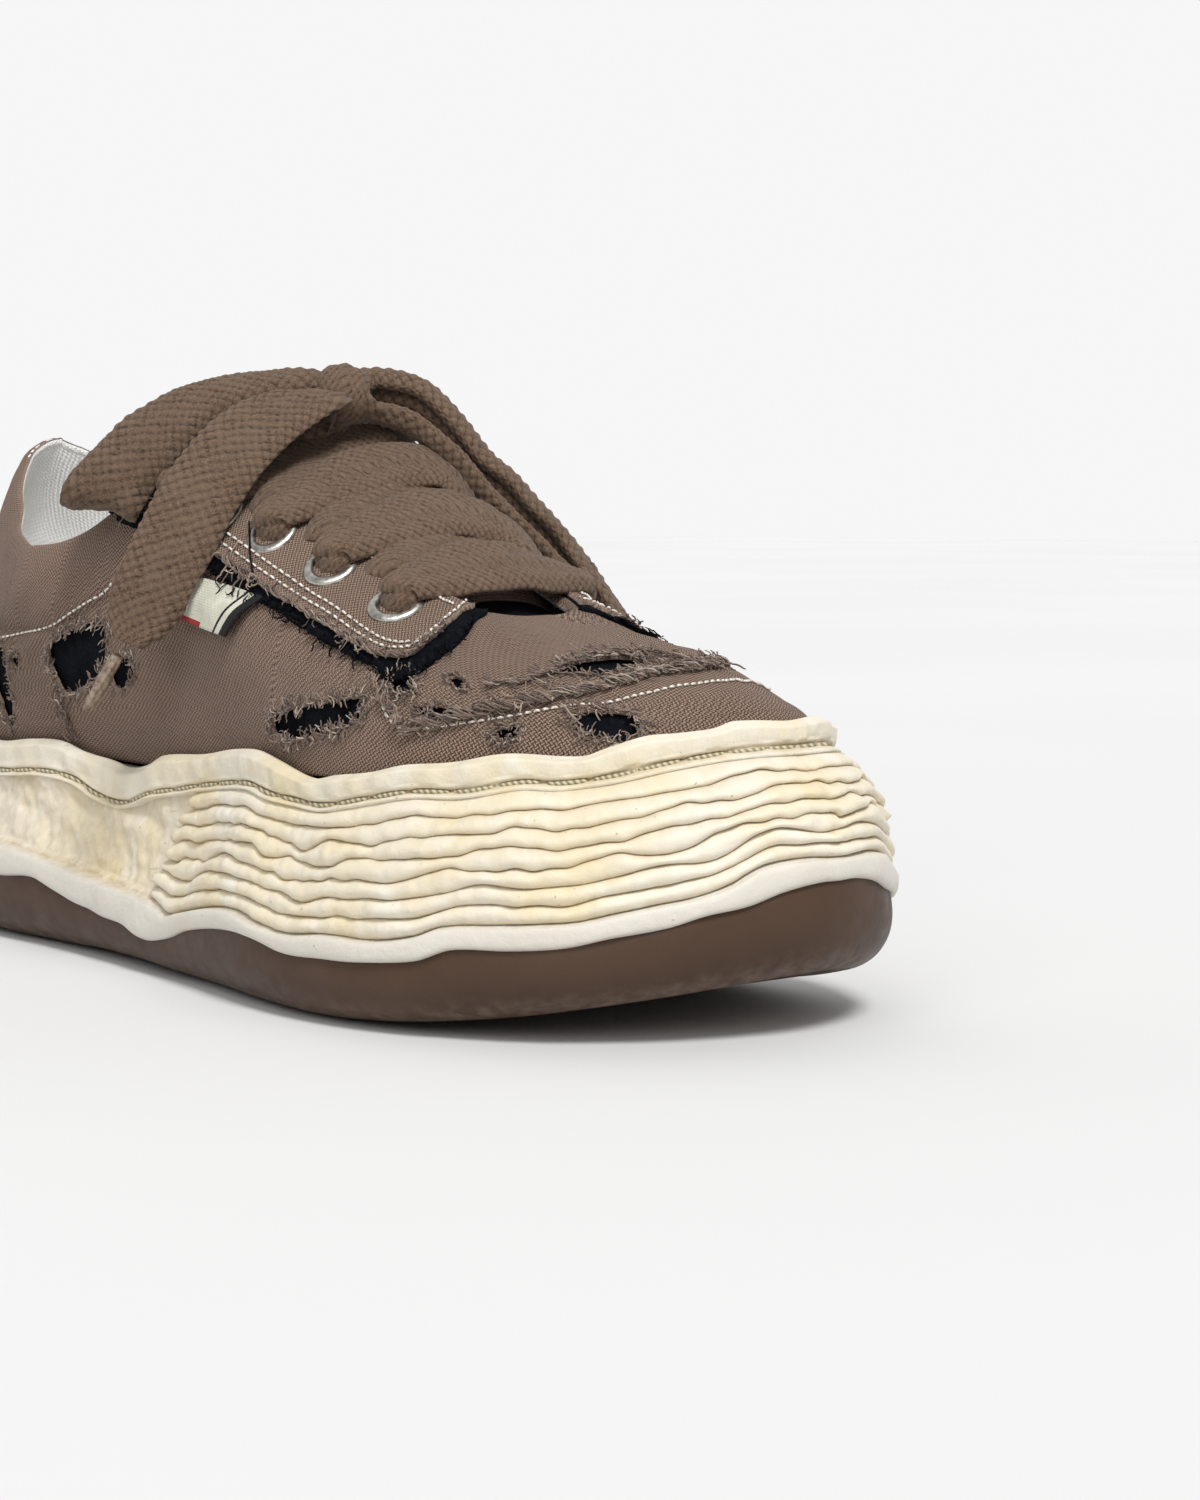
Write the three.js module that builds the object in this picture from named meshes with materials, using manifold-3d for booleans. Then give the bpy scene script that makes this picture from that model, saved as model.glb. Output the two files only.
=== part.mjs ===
// A worn low-top sneaker for the right foot: cupped two-layer sole, canvas upper, tongue,
// insole, eyelets and a tied flat lace. Millimetres, +X to the toe, +Y to the medial side, +Z up.
import * as THREE from "three";
import Module from "manifold-3d";
import { mergeVertices } from "three/addons/utils/BufferGeometryUtils.js";

const wasm = await Module();
wasm.setup();

// ---- Driving dimensions ----
// Widths along the shoe are shares of the ball's, heights of the upper shares of the instep's.
const SOLE_LENGTH = 300;
const BALL_WIDTH = 111;
const INSTEP_HEIGHT = 116;
const TOE_SPRING = 12;
const HEEL_SPRING = 4;
const ARCH_LIFT = 3;
const GAP = 0.3;
const RING_POINTS = 72;

// ---- Sole ----
const TOE_BREAK = 50;
const HEEL_BREAK = -112;
const PLATFORM_HEIGHT = 41;
const RIM_INSET = 8;
const TOE_FLARE = 4.5;
const RIM_THICKNESS = 4.2;
const RIDGE_COUNT = 6;
const RIDGE_DEPTH = 1.1;
const RIDGE_START = 0.15;
const RIDGE_END = 0.77;

// ---- Upper ----
const WALL = 2.4;
const FEATHER_GAP = 0.4;
const UPPER_ROWS = 7;
const HEEL_OFFSET = 5;

// ---- Insole and tongue ----
const INSOLE_THICKNESS = 4;
const INSOLE_GAP = 0.5;
const TONGUE_THICKNESS = 4;
const TONGUE_CLEARANCE = 1.1;
const TONGUE_STEPS = 8;

// ---- Lace and eyelets ----
const LACE_WIDTH = 16;
const LACE_THICKNESS = 2.4;
const KNOT_PINCH = 0.4;
const EYELET_OUTER = 5;
const EYELET_BORE = 3;
const EYELET_LIP = 0.9;
const EYELET_SEAT = 0.4;
const EYELET_SIDES = 9;
const HOLE_RADIUS = 3.9;

// The sole's plan outline at its widest level: share of the length from the heel, and the
// distance from the centre line as a share of half the width at the ball.
const LATERAL_OUTLINE = [
  [0.035, 0.31], [0.107, 0.6], [0.205, 0.69], [0.35, 0.72], [0.5, 0.82],
  [0.65, 0.985], [0.77, 0.97], [0.875, 0.76], [0.945, 0.45], [0.985, 0.12],
];
const MEDIAL_OUTLINE = [
  [0.04, 0.56], [0.115, 0.78], [0.23, 0.775], [0.365, 0.67], [0.5, 0.68],
  [0.63, 0.85], [0.735, 0.975], [0.845, 0.99], [0.93, 0.85], [0.98, 0.57],
];
const TOE_TIP = [1, 0.21];
const HEEL_TIP = [0, 0.11];

const stretch = (share) => (share - 0.5) * SOLE_LENGTH;
const outlinePoint = ([share, side], sign) =>
  new THREE.Vector3(stretch(share), (sign * side * BALL_WIDTH) / 2, 0);

function soleOutline() {
  const points = [
    outlinePoint(TOE_TIP, 1),
    ...[...LATERAL_OUTLINE].reverse().map((p) => outlinePoint(p, -1)),
    outlinePoint(HEEL_TIP, 1),
    ...MEDIAL_OUTLINE.map((p) => outlinePoint(p, 1)),
  ];
  return new THREE.CatmullRomCurve3(points, true, "catmullrom", 0.5).getSpacedPoints(1200);
}

// Points evenly spaced along an open polyline, its first end included and its last left out.
function spacedAlong(line, count) {
  const lengths = [0];
  for (let i = 1; i < line.length; i++) {
    lengths.push(lengths[i - 1] + line[i].distanceTo(line[i - 1]));
  }
  const total = lengths[lengths.length - 1];
  const points = [];
  let k = 0;
  for (let i = 0; i < count; i++) {
    const want = (total * i) / count;
    while (lengths[k + 1] < want) k++;
    const share = (want - lengths[k]) / (lengths[k + 1] - lengths[k]);
    points.push(line[k].clone().lerp(line[k + 1], share));
  }
  return points;
}

// The outline as a ring: from the toe tip down the lateral side to the heel, then back up the
// medial side, so that point i faces point RING_POINTS - i across the shoe.
function outlineRing() {
  const dense = soleOutline().slice(0, -1);
  const at = (pick) => dense.indexOf(dense.reduce((a, b) => (pick(b, a) ? b : a)));
  const toe = at((b, a) => b.x > a.x);
  const turned = [...dense.slice(toe), ...dense.slice(0, toe)];
  const heel = turned.indexOf(turned.reduce((a, b) => (b.x < a.x ? b : a)));
  const half = RING_POINTS / 2;
  return [
    ...spacedAlong(turned.slice(0, heel + 1), half),
    ...spacedAlong([...turned.slice(heel), turned[0]], half),
  ];
}

const OUTLINE = outlineRing();
const INWARD = OUTLINE.map((p, i) => {
  const before = OUTLINE[(i + RING_POINTS - 1) % RING_POINTS];
  const after = OUTLINE[(i + 1) % RING_POINTS];
  const along = after.clone().sub(before).normalize();
  return new THREE.Vector3(along.y, -along.x, 0);
});

const smooth = (low, high, x) => THREE.MathUtils.smoothstep(x, low, high);

// A smooth height profile through a few [x, height] points.
function profile(points) {
  return (x) => {
    const last = points.length - 1;
    if (x <= points[0][0]) return points[0][1];
    if (x >= points[last][0]) return points[last][1];
    const i = points.findIndex((p) => p[0] > x) - 1;
    return THREE.MathUtils.lerp(points[i][1], points[i + 1][1], smooth(points[i][0], points[i + 1][0], x));
  };
}

// How far the ground line has lifted at x, at the toe and at the heel.
function spring(x) {
  const half = SOLE_LENGTH / 2;
  const toe = Math.max(0, (x - TOE_BREAK) / (half - TOE_BREAK));
  const heel = Math.max(0, (HEEL_BREAK - x) / (half + HEEL_BREAK));
  return TOE_SPRING * toe ** 2 + HEEL_SPRING * heel ** 2;
}

const archLift = (x) => ARCH_LIFT * smooth(-62, -38, x) * (1 - smooth(-18, 8, x));
const seamHeight = profile([
  [-150, 14], [-60, 12.5], [-14, 9.5], [16, 12.5], [52, 10.5], [100, 13.5], [150, 17],
]);
const rimHeight = profile([[-150, 47], [-50, 47.5], [50, 51], [150, 51.5]]);

// How far each layer stands in from the widest outline: the sole flares out more at the toe.
const rimInset = (x) => RIM_INSET + TOE_FLARE * smooth(60, 150, x);
const cupInset = (x) => rimInset(x) + RIM_THICKNESS;
const featherInset = (x) => cupInset(x) + FEATHER_GAP;
const insoleInset = (x) => featherInset(x) + WALL + INSOLE_GAP;

// One ring of a solid: the outline moved in by inset(x), at height(x) above the ground line.
function ring(inset, height) {
  return OUTLINE.map((p, i) => {
    const q = p.clone().addScaledVector(INWARD[i], typeof inset === "function" ? inset(p.x) : inset);
    q.z = spring(q.x) + (typeof height === "function" ? height(q.x) : height);
    return q;
  });
}

function geometryFrom(points, faces) {
  const geometry = new THREE.BufferGeometry();
  const flat = points.flatMap((p) => p.toArray());
  geometry.setAttribute("position", new THREE.Float32BufferAttribute(flat, 3));
  geometry.setIndex(faces.flat());
  if (signedVolume(geometry) < 0) geometry.setIndex(faces.flatMap(([a, b, c]) => [a, c, b]));
  geometry.computeVertexNormals();
  return geometry;
}

function signedVolume(geometry) {
  const position = geometry.getAttribute("position");
  const index = geometry.getIndex();
  const corner = [new THREE.Vector3(), new THREE.Vector3(), new THREE.Vector3()];
  let volume = 0;
  for (let i = 0; i < index.count; i += 3) {
    corner.forEach((c, k) => c.fromBufferAttribute(position, index.getX(i + k)));
    volume += corner[0].dot(corner[1].cross(corner[2])) / 6;
  }
  return volume;
}

function bandFaces(from, to, count) {
  const faces = [];
  for (let i = 0; i < count; i++) {
    const j = (i + 1) % count;
    faces.push([from + i, to + i, to + j], [from + i, to + j, from + j]);
  }
  return faces;
}

// A flat lid over a ring, in strips that run straight across the shoe.
function lidFaces(start, count, flip) {
  const faces = [];
  for (let i = 0; i < count / 2; i++) {
    const left = [start + i, start + i + 1];
    const right = [start + ((count - i) % count), start + count - i - 1];
    if (left[0] !== right[0]) faces.push([left[0], left[1], right[0]]);
    if (left[1] !== right[1]) faces.push([left[1], right[1], right[0]]);
  }
  return flip ? faces.map(([a, b, c]) => [a, c, b]) : faces;
}

// A closed solid through a stack of rings with a lid on its first and last ring.
function stack(rings) {
  const count = rings[0].length;
  const faces = [];
  for (let r = 0; r < rings.length - 1; r++) {
    faces.push(...bandFaces(r * count, (r + 1) * count, count));
  }
  faces.push(...lidFaces(0, count, false));
  faces.push(...lidFaces((rings.length - 1) * count, count, true));
  return geometryFrom(rings.flat(), faces);
}

// A closed wall: the last ring joins the first.
function wallSolid(rings) {
  const count = rings[0].length;
  const faces = [];
  for (let r = 0; r < rings.length; r++) {
    faces.push(...bandFaces(r * count, ((r + 1) % rings.length) * count, count));
  }
  return geometryFrom(rings.flat(), faces);
}

// ---- Joining and cutting ----
function toSolid(geometry) {
  const bare = geometry.clone();
  bare.deleteAttribute("normal");
  bare.deleteAttribute("uv");
  const merged = mergeVertices(bare, 1e-4);
  return new wasm.Manifold(new wasm.Mesh({
    numProp: 3,
    vertProperties: new Float32Array(merged.getAttribute("position").array),
    triVerts: new Uint32Array(merged.getIndex().array),
  }));
}

function fromSolid(solid) {
  const mesh = solid.getMesh();
  const geometry = new THREE.BufferGeometry();
  geometry.setAttribute("position", new THREE.BufferAttribute(mesh.vertProperties, 3));
  geometry.setIndex(new THREE.BufferAttribute(mesh.triVerts, 1));
  geometry.computeVertexNormals();
  return geometry;
}

// ---- Outsole: a shell-edged rubber slab with cross grooves under the ball and the heel ----
const GROOVE_WIDTH = 3;
const GROOVE_DEPTH = 2;
const BALL_GROOVES = { first: 26, pitch: 14, count: 5 };
const HEEL_GROOVES = { first: -118, pitch: 14, count: 4 };

function grooveBars() {
  return [BALL_GROOVES, HEEL_GROOVES].flatMap(({ first, pitch, count }) =>
    Array.from({ length: count }, (_, i) => {
      const x = first + i * pitch;
      const bar = new THREE.BoxGeometry(GROOVE_WIDTH, BALL_WIDTH, 2 * GROOVE_DEPTH);
      return bar.translate(x, 0, spring(x));
    }));
}

function outsoleGeometry() {
  const side = (share) => (x) => archLift(x) * (1 - share) + share * seamHeight(x);
  const slab = stack([
    ring(1.2, side(1)),
    ring(0.8, side(0.65)),
    ring(2.4, side(0.34)),
    ring(5.8, side(0.12)),
    ring(12, side(0)),
  ]);
  let solid = toSolid(slab);
  for (const bar of grooveBars()) solid = solid.subtract(toSolid(bar));
  return fromSolid(solid);
}

// ---- Midsole: a flared cup with a lower band, stacked ridges, a stitch groove and a rim ----
function midsoleGeometry() {
  const low = (x) => seamHeight(x) + GAP;
  const level = (share) => (x) => THREE.MathUtils.lerp(low(x), rimHeight(x), share);
  const ridged = (x) => smooth(-8, 4, x);
  const flare = (share) => (x) => 0.6 + (rimInset(x) - 0.6) * share ** 1.5;
  const rings = [ring(1.4, level(0)), ring(0.2, level(0.03)), ring(0, level(0.09))];
  for (let i = 0; i <= 2 * RIDGE_COUNT; i++) {
    const share = THREE.MathUtils.lerp(RIDGE_START, RIDGE_END, i / (2 * RIDGE_COUNT));
    const dent = i % 2 === 0 ? RIDGE_DEPTH : 0;
    rings.push(ring((x) => flare(share)(x) + dent * ridged(x), level(share)));
  }
  rings.push(
    ring((x) => rimInset(x) + 1.2, level(0.8)),
    ring(rimInset, level(0.84)),
    ring(rimInset, level(0.95)),
    ring((x) => rimInset(x) + 1.6, level(1)),
    ring(cupInset, level(0.99)),
    ring(cupInset, PLATFORM_HEIGHT),
  );
  return stack(rings);
}

// ---- Insole: a thin footbed that dips at the heel seat ----
function insoleGeometry() {
  const base = PLATFORM_HEIGHT + GAP;
  return stack([
    ring(insoleInset, base + INSOLE_THICKNESS),
    ring(insoleInset, base),
  ]);
}

// ---- Upper: one hollow canvas wall on the last's own shape ----
// Each station gives its share of the way from the toe to the heel along the feather line; the
// point of the top edge; how far the wall rises and leans out of the sole; and the offset, from
// the top edge down, of the handle that the wall arrives along (y counts outwards).
const TOE_STATION = { at: 0, top: [73, 3, 0.7], rise: 10, lean: -5, handle: [28, 0, -6] };
const BACK_STATION = { at: 1, top: [-129.5, 1.5, 1.06], rise: 20, lean: 3, handle: [-6, 0, -24] };
const SIDE_STATIONS = [
  { at: 0.08, top: [73.5, 5, 0.7], rise: 10, lean: -5, handle: [25, 9, -6.5] },
  { at: 0.16, top: [72.5, 11, 0.705], rise: 11, lean: -3.5, handle: [17, 16, -7.5] },
  { at: 0.24, top: [67.5, 15.5, 0.715], rise: 13, lean: -1.5, handle: [8, 19, -9] },
  { at: 0.33, top: [56, 16.5, 0.755], rise: 15, lean: 0.5, handle: [2, 21, -10.5] },
  { at: 0.46, top: [21, 18.5, 0.88], rise: 22, lean: 3, handle: [0, 21, -13] },
  { at: 0.52, top: [2, 20, 0.935], rise: 24, lean: 4, handle: [0, 20, -15] },
  { at: 0.585, top: [-19, 22.5, 0.98], rise: 25, lean: 5, handle: [0, 17, -19] },
  { at: 0.64, top: [-34, 27.5, 0.92], rise: 24, lean: 6, handle: [0, 11, -20] },
  { at: 0.7, top: [-48, 33.5, 0.84], rise: 18, lean: 6, handle: [0, 5, -18] },
  { at: 0.76, top: [-63, 36.5, 0.81], rise: 15, lean: 6, handle: [0, 2, -15] },
  { at: 0.83, top: [-84, 36, 0.82], rise: 15, lean: 6, handle: [0, 2, -15] },
  { at: 0.9, top: [-103.5, 30.5, 0.905], rise: 17, lean: 5, handle: [-1, 2, -18] },
  { at: 0.95, top: [-121, 19.5, 1], rise: 19, lean: 4, handle: [-4, 2, -21] },
  { at: 0.98, top: [-127.5, 9, 1.045], rise: 20, lean: 3.5, handle: [-5.5, 1, -23] },
];
const MEDIAL_RAISE = 2;

// The collar's own centre line runs off to the medial side over the heel.
const heelShift = (x) => HEEL_OFFSET * (1 - smooth(-120, -20, x));

// A smooth value at u through the stations on either side of it.
function between(stations, u, read) {
  const i = Math.max(1, stations.findIndex((s) => s.at >= u)) - 1;
  const last = stations.length - 1;
  const s = [Math.max(0, i - 1), i, i + 1, Math.min(last, i + 2)].map((k) => stations[k]);
  const v = s.map(read);
  const span = s[2].at - s[1].at;
  const slopeIn = ((v[2] - v[0]) / Math.max(s[2].at - s[0].at, 1e-6)) * span;
  const slopeOut = ((v[3] - v[1]) / Math.max(s[3].at - s[1].at, 1e-6)) * span;
  const t = (u - s[1].at) / span;
  const t2 = t * t;
  const t3 = t2 * t;
  return (2 * t3 - 3 * t2 + 1) * v[1] + (t3 - 2 * t2 + t) * slopeIn
    + (3 * t2 - 2 * t3) * v[2] + (t3 - t2) * slopeOut;
}

function sideStations(sign) {
  const flip = ([x, y, z], by) => [x, by * y, z];
  const facing = (s, by) => ({ ...s, top: flip(s.top, by), handle: flip(s.handle, by) });
  const mirrorEnd = (s, end) => ({ ...facing(s, -1), at: 2 * end.at - s.at });
  const side = SIDE_STATIONS.map((s) => facing(s, sign));
  return [
    mirrorEnd(side[0], TOE_STATION), TOE_STATION, ...side, BACK_STATION,
    mirrorEnd(side[side.length - 1], BACK_STATION),
  ];
}

// The wall's centre sections: a straight stand inside the sole's cup, then a cubic arch to the
// top edge.
function wallSection(i, feather, stations) {
  const half = RING_POINTS / 2;
  const lateral = i <= half;
  const u = lateral ? i / half : (RING_POINTS - i) / half;
  const side = stations[lateral ? 0 : 1];
  const value = (read) => between(side, u, read);
  const raise = lateral ? 0 : MEDIAL_RAISE * smooth(0.6, 0.75, u) * (1 - smooth(0.85, 1, u));
  const foot = feather[i];
  const start = foot.clone().setZ(spring(foot.x) + rimHeight(foot.x) + 0.8);
  const top = new THREE.Vector3(...[0, 1, 2].map((k) => value((s) => s.top[k])));
  top.y += heelShift(top.x);
  top.z = top.z * INSTEP_HEIGHT + raise;
  const rise = start.clone().addScaledVector(INWARD[i], -value((s) => s.lean));
  rise.z += value((s) => s.rise);
  const handle = new THREE.Vector3(...[0, 1, 2].map((k) => value((s) => s.handle[k])));
  const arrive = top.clone().add(handle);
  const arch = new THREE.CubicBezierCurve3(start, rise, arrive, top);
  return [foot, ...arch.getPoints(UPPER_ROWS)];
}

function upperRows() {
  const feather = ring(featherInset, PLATFORM_HEIGHT + GAP);
  const stations = [sideStations(-1), sideStations(1)];
  const columns = feather.map((_, i) => wallSection(i, feather, stations));
  return columns[0].map((_, row) => columns.map((column) => column[row]));
}

// The same rows moved in by a depth along the surface's own normals.
function innerRows(rows, depth) {
  const count = RING_POINTS;
  return rows.map((row, r) => row.map((p, i) => {
    const around = row[(i + 1) % count].clone().sub(row[(i + count - 1) % count]);
    const up = rows[Math.min(r + 1, rows.length - 1)][i].clone().sub(rows[Math.max(r - 1, 0)][i]);
    if (r === 0) return p.clone().addScaledVector(INWARD[i], depth);
    return p.clone().addScaledVector(around.cross(up).normalize(), depth);
  }));
}

const UPPER_OUTER = upperRows();

function wallOfDepth(depth) {
  return toSolid(wallSolid([...UPPER_OUTER, ...innerRows(UPPER_OUTER, depth).reverse()]));
}

function upperGeometry() {
  let solid = wallOfDepth(WALL);
  for (const seat of EYELET_SEATS) {
    const drill = new THREE.CylinderGeometry(HOLE_RADIUS, HOLE_RADIUS, 14, EYELET_SIDES);
    solid = solid.subtract(toSolid(placedOn(drill, seat)));
  }
  return fromSolid(solid);
}

// ---- Eyelets: rolled rings, five to a side, along the facings ----
const EYELET_STATIONS = [57.5, 37, 17.5, 0, -16];
const EYELET_SETBACK = 9.5;

// The point of the facing that lies a setback down from the top edge at x, with its normal.
function facingSeat(x, sign, setback = EYELET_SETBACK) {
  const half = RING_POINTS / 2;
  const order = Array.from({ length: half }, (_, k) => (sign < 0 ? k : (RING_POINTS - k) % RING_POINTS));
  const seats = order.map((i) => {
    const column = UPPER_OUTER.map((row) => row[i]);
    const arch = new THREE.CatmullRomCurve3(column.slice(1));
    const share = 1 - setback / arch.getLength();
    return { point: arch.getPointAt(share), down: arch.getTangentAt(share).negate() };
  });
  const k = seats.findIndex((s, n) => n > half / 6 && s.point.x < x);
  const [a, b] = [seats[k - 1], seats[k]];
  const t = (a.point.x - x) / (a.point.x - b.point.x);
  const point = a.point.clone().lerp(b.point, t);
  const along = b.point.clone().sub(a.point).normalize();
  const normal = along.clone().cross(a.down.clone().lerp(b.down, t)).multiplyScalar(sign).normalize();
  if (normal.z < 0) normal.negate();
  return { point, normal };
}

const EYELET_SEATS = [-1, 1].flatMap((sign) => EYELET_STATIONS.map((x) => facingSeat(x, sign)));

// Turns a solid made around the Y axis to stand on a seat, its +Y along the seat's normal.
function placedOn(geometry, { point, normal }) {
  const turn = new THREE.Quaternion().setFromUnitVectors(new THREE.Vector3(0, 1, 0), normal);
  return geometry.applyQuaternion(turn).translate(point.x, point.y, point.z);
}

function eyeletGeometry(seat) {
  const section = [
    [EYELET_BORE, -WALL], [EYELET_BORE + 0.5, -WALL], [EYELET_BORE + 0.5, EYELET_SEAT],
    [EYELET_OUTER, EYELET_SEAT], [EYELET_OUTER - 0.6, EYELET_SEAT + EYELET_LIP],
    [EYELET_BORE, EYELET_SEAT + EYELET_LIP],
  ].map(([r, y]) => new THREE.Vector2(r, y));
  return placedOn(new THREE.LatheGeometry([...section, section[0].clone()], EYELET_SIDES), seat);
}

// ---- Tongue: a padded strip under the facings, crowned across ----
// [x, crown height, half width, drop at the edge]
const TONGUE_SECTIONS = [
  [92, 66, 20, 4], [80, 71.5, 24, 6], [70, 76.5, 27, 8], [56, 83.5, 29, 9], [38, 92, 30, 10],
  [20, 99.5, 30, 10.5], [3, 106, 28, 10], [-13, 112, 24.5, 9], [-26, 118, 20.5, 7], [-36, 123, 19, 6],
];

function tongueGeometry() {
  const rings = TONGUE_SECTIONS.map(([x, crown, halfWidth, drop]) => {
    const top = [];
    const bottom = [];
    for (let k = 0; k <= TONGUE_STEPS; k++) {
      const share = (2 * k) / TONGUE_STEPS - 1;
      const edge = 1 - 0.55 * share ** 4;
      const z = crown - drop * share ** 2;
      top.push(new THREE.Vector3(x, share * halfWidth, z));
      bottom.push(new THREE.Vector3(x - 1.5, share * halfWidth, z - TONGUE_THICKNESS * edge));
    }
    return [...top, ...bottom.reverse()];
  });
  const count = rings[0].length;
  const faces = [];
  for (let r = 0; r < rings.length - 1; r++) {
    faces.push(...bandFaces(r * count, (r + 1) * count, count));
  }
  faces.push(...endFaces(0, count, true), ...endFaces((rings.length - 1) * count, count, false));
  const pad = toSolid(geometryFrom(rings.flat(), faces));
  return fromSolid(pad.subtract(wallOfDepth(WALL + TONGUE_CLEARANCE)));
}

// The end of a strip whose ring runs across its top and back across its underside.
function endFaces(start, count, flip) {
  const faces = [];
  for (let i = 0; i < count / 2 - 1; i++) {
    const top = [start + i, start + i + 1];
    const under = [start + count - 1 - i, start + count - 2 - i];
    faces.push([top[0], under[0], top[1]], [top[1], under[0], under[1]]);
  }
  return flip ? faces.map(([a, b, c]) => [a, c, b]) : faces;
}

// ---- Lace ----
const GATHER_REACH = 0.4;

// A flat braid along a route: each route point has its place and the way its face looks. It is
// gathered narrower at the ends that go into the knot.
function braid(route, width = LACE_WIDTH, gathered = [0, 0]) {
  const line = new THREE.CatmullRomCurve3(route.map((p) => new THREE.Vector3(...p.slice(0, 3))));
  const looks = new THREE.CatmullRomCurve3(route.map((p) => new THREE.Vector3(...p.slice(3, 6))));
  const count = 2 * (route.length - 1);
  const rings = [];
  for (let k = 0; k <= count; k++) {
    const t = k / count;
    const along = line.getTangent(t);
    const face = looks.getPoint(t);
    const side = along.clone().cross(face).normalize();
    face.crossVectors(side, along).normalize();
    const [first, last] = [1 - smooth(0, GATHER_REACH, t), smooth(1 - GATHER_REACH, 1, t)];
    const pinch = gathered[0] * first + gathered[1] * last;
    const [w, h] = [(width / 2) * (1 - KNOT_PINCH * pinch), LACE_THICKNESS / 2];
    const corner = (a, b) => line.getPoint(t).addScaledVector(side, a).addScaledVector(face, b);
    rings.push([corner(-w, -h), corner(-w, h), corner(w, h), corner(w, -h)]);
  }
  const sides = rings[0].length;
  const faces = [];
  for (let r = 0; r < count; r++) faces.push(...bandFaces(r * sides, (r + 1) * sides, sides));
  const fan = (s) => [[s, s + 1, s + 2], [s, s + 2, s + 3]];
  faces.push(...fan(0));
  faces.push(...fan(count * sides).map(([a, b, c]) => [a, c, b]));
  return geometryFrom(rings.flat(), faces);
}

// A strand over the throat from an eyelet to a point across it, lifted clear of ring and facing.
const STRAND_LIFT = EYELET_SEAT + EYELET_LIP + LACE_THICKNESS / 2 + 5 * GAP;
const CROSS_REACH = 5;
const CROSS_SETBACK = 4.5;
const STRAND_WIDTH = 11.5;
const TIE_ADVANCE = 4.3;
const TIE_RISE = 4.05;
const TIE_DROP = 3.2;

function lifted(x, sign, setback, lift) {
  const { point, normal } = facingSeat(x, sign, setback);
  return [...point.addScaledVector(normal, lift).toArray(), ...normal.toArray()];
}

// The middle of the throat at x, level with its two edges, lifted, with the slope's own look.
function crown(x, lift) {
  const edgeHeight = (at) => (facingSeat(at, -1, 0).point.z + facingSeat(at, 1, 0).point.z) / 2;
  const slope = (edgeHeight(x - 4) - edgeHeight(x + 4)) / 8;
  return [x, 0, edgeHeight(x) + lift, slope, 0, 1];
}

function strand(from, to, sign) {
  const middle = (from + to) / 2;
  return braid([
    lifted(from, sign, EYELET_SETBACK - 1, STRAND_LIFT),
    lifted(from - 0.2 * (from - to), sign, 2, STRAND_LIFT),
    crown(middle, STRAND_LIFT - 0.4),
    lifted(to + 0.2 * (from - to), -sign, 2, STRAND_LIFT),
    lifted(to, -sign, from === to ? EYELET_SETBACK - 1 : CROSS_SETBACK, STRAND_LIFT + 2 * GAP),
  ], STRAND_WIDTH);
}

const joined = (parts) => fromSolid(parts.map(toSolid).reduce((a, b) => a.add(b)));
const straightBar = (x) => strand(x, x, -1);
const crossing = (x, reach) => joined([strand(x, x - reach, -1), strand(x, x - reach, 1)]);

// The last pair of strands rises from the top eyelets to the underside of the knot.
function tiedStrands() {
  const [x, under] = [EYELET_STATIONS[4], [KNOT.place[0] - 3, 0, KNOT.place[2] - KNOT.size[2] - TIE_DROP]];
  const half = (sign) => braid([
    lifted(x, sign, EYELET_SETBACK - 1, STRAND_LIFT),
    lifted(x + TIE_ADVANCE, sign, 1, STRAND_LIFT + TIE_RISE),
    [under[0] - 2, sign * 8, under[2] - 1.4, 0.35, sign * 0.2, 0.9],
    [...under, 0.3, 0, 0.95],
    [under[0] + 1, -sign * 5, under[2] - 0.4, 0.3, 0, 0.95],
  ], STRAND_WIDTH);
  return joined([half(-1), half(1)]);
}

// The bow. Each route point is x, y, z and then the way the braid's face looks.
const KNOT = { place: [7, 0, 129], size: [7.5, 7.2, 6.4] };
const LATERAL_LOOP = [
  [0, -9, 132.8, 0.1, -0.3, 0.95], [-7.5, -14, 131.8, 0.12, -0.42, 0.9], [-14, -20, 129.2, 0.2, -0.52, 0.82],
  [-20, -27, 125, 0.26, -0.6, 0.74], [-26, -34.2, 119.4, 0.34, -0.68, 0.6],
  [-28.5, -37.5, 111.6, 0.42, -0.72, 0.35], [-33.8, -40.8, 106.8, 0.3, -0.76, 0],
  [-37.5, -40.6, 104, -0.55, -0.4, -0.7], [-36.5, -37.6, 106.4, -0.3, 0.65, -0.5],
  [-32, -33.8, 112.8, 0.1, 0.62, -0.62], [-28.2, -30.4, 120.8, 0.25, 0.5, -0.76],
  [-19.8, -22.2, 126.4, 0.25, 0.4, -0.85], [-11, -14, 128, 0.1, 0.3, -0.94],
  [-4.5, -9.5, 128, 0, 0.3, -0.95],
];
const LATERAL_END = [
  [6.5, -8.5, 128.4, 0.1, -0.3, 0.95], [6.2, -17, 125.5, 0.2, -0.5, 0.84], [5.6, -27, 118, 0.3, -0.65, 0.7],
  [4.2, -35.5, 107.5, 0.35, -0.75, 0.55], [1.4, -42, 96, 0.35, -0.82, 0.42],
  [-2.6, -46.4, 84.5, 0.35, -0.86, 0.35], [-7, -49.4, 74.5, 0.35, -0.88, 0.3],
];
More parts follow.
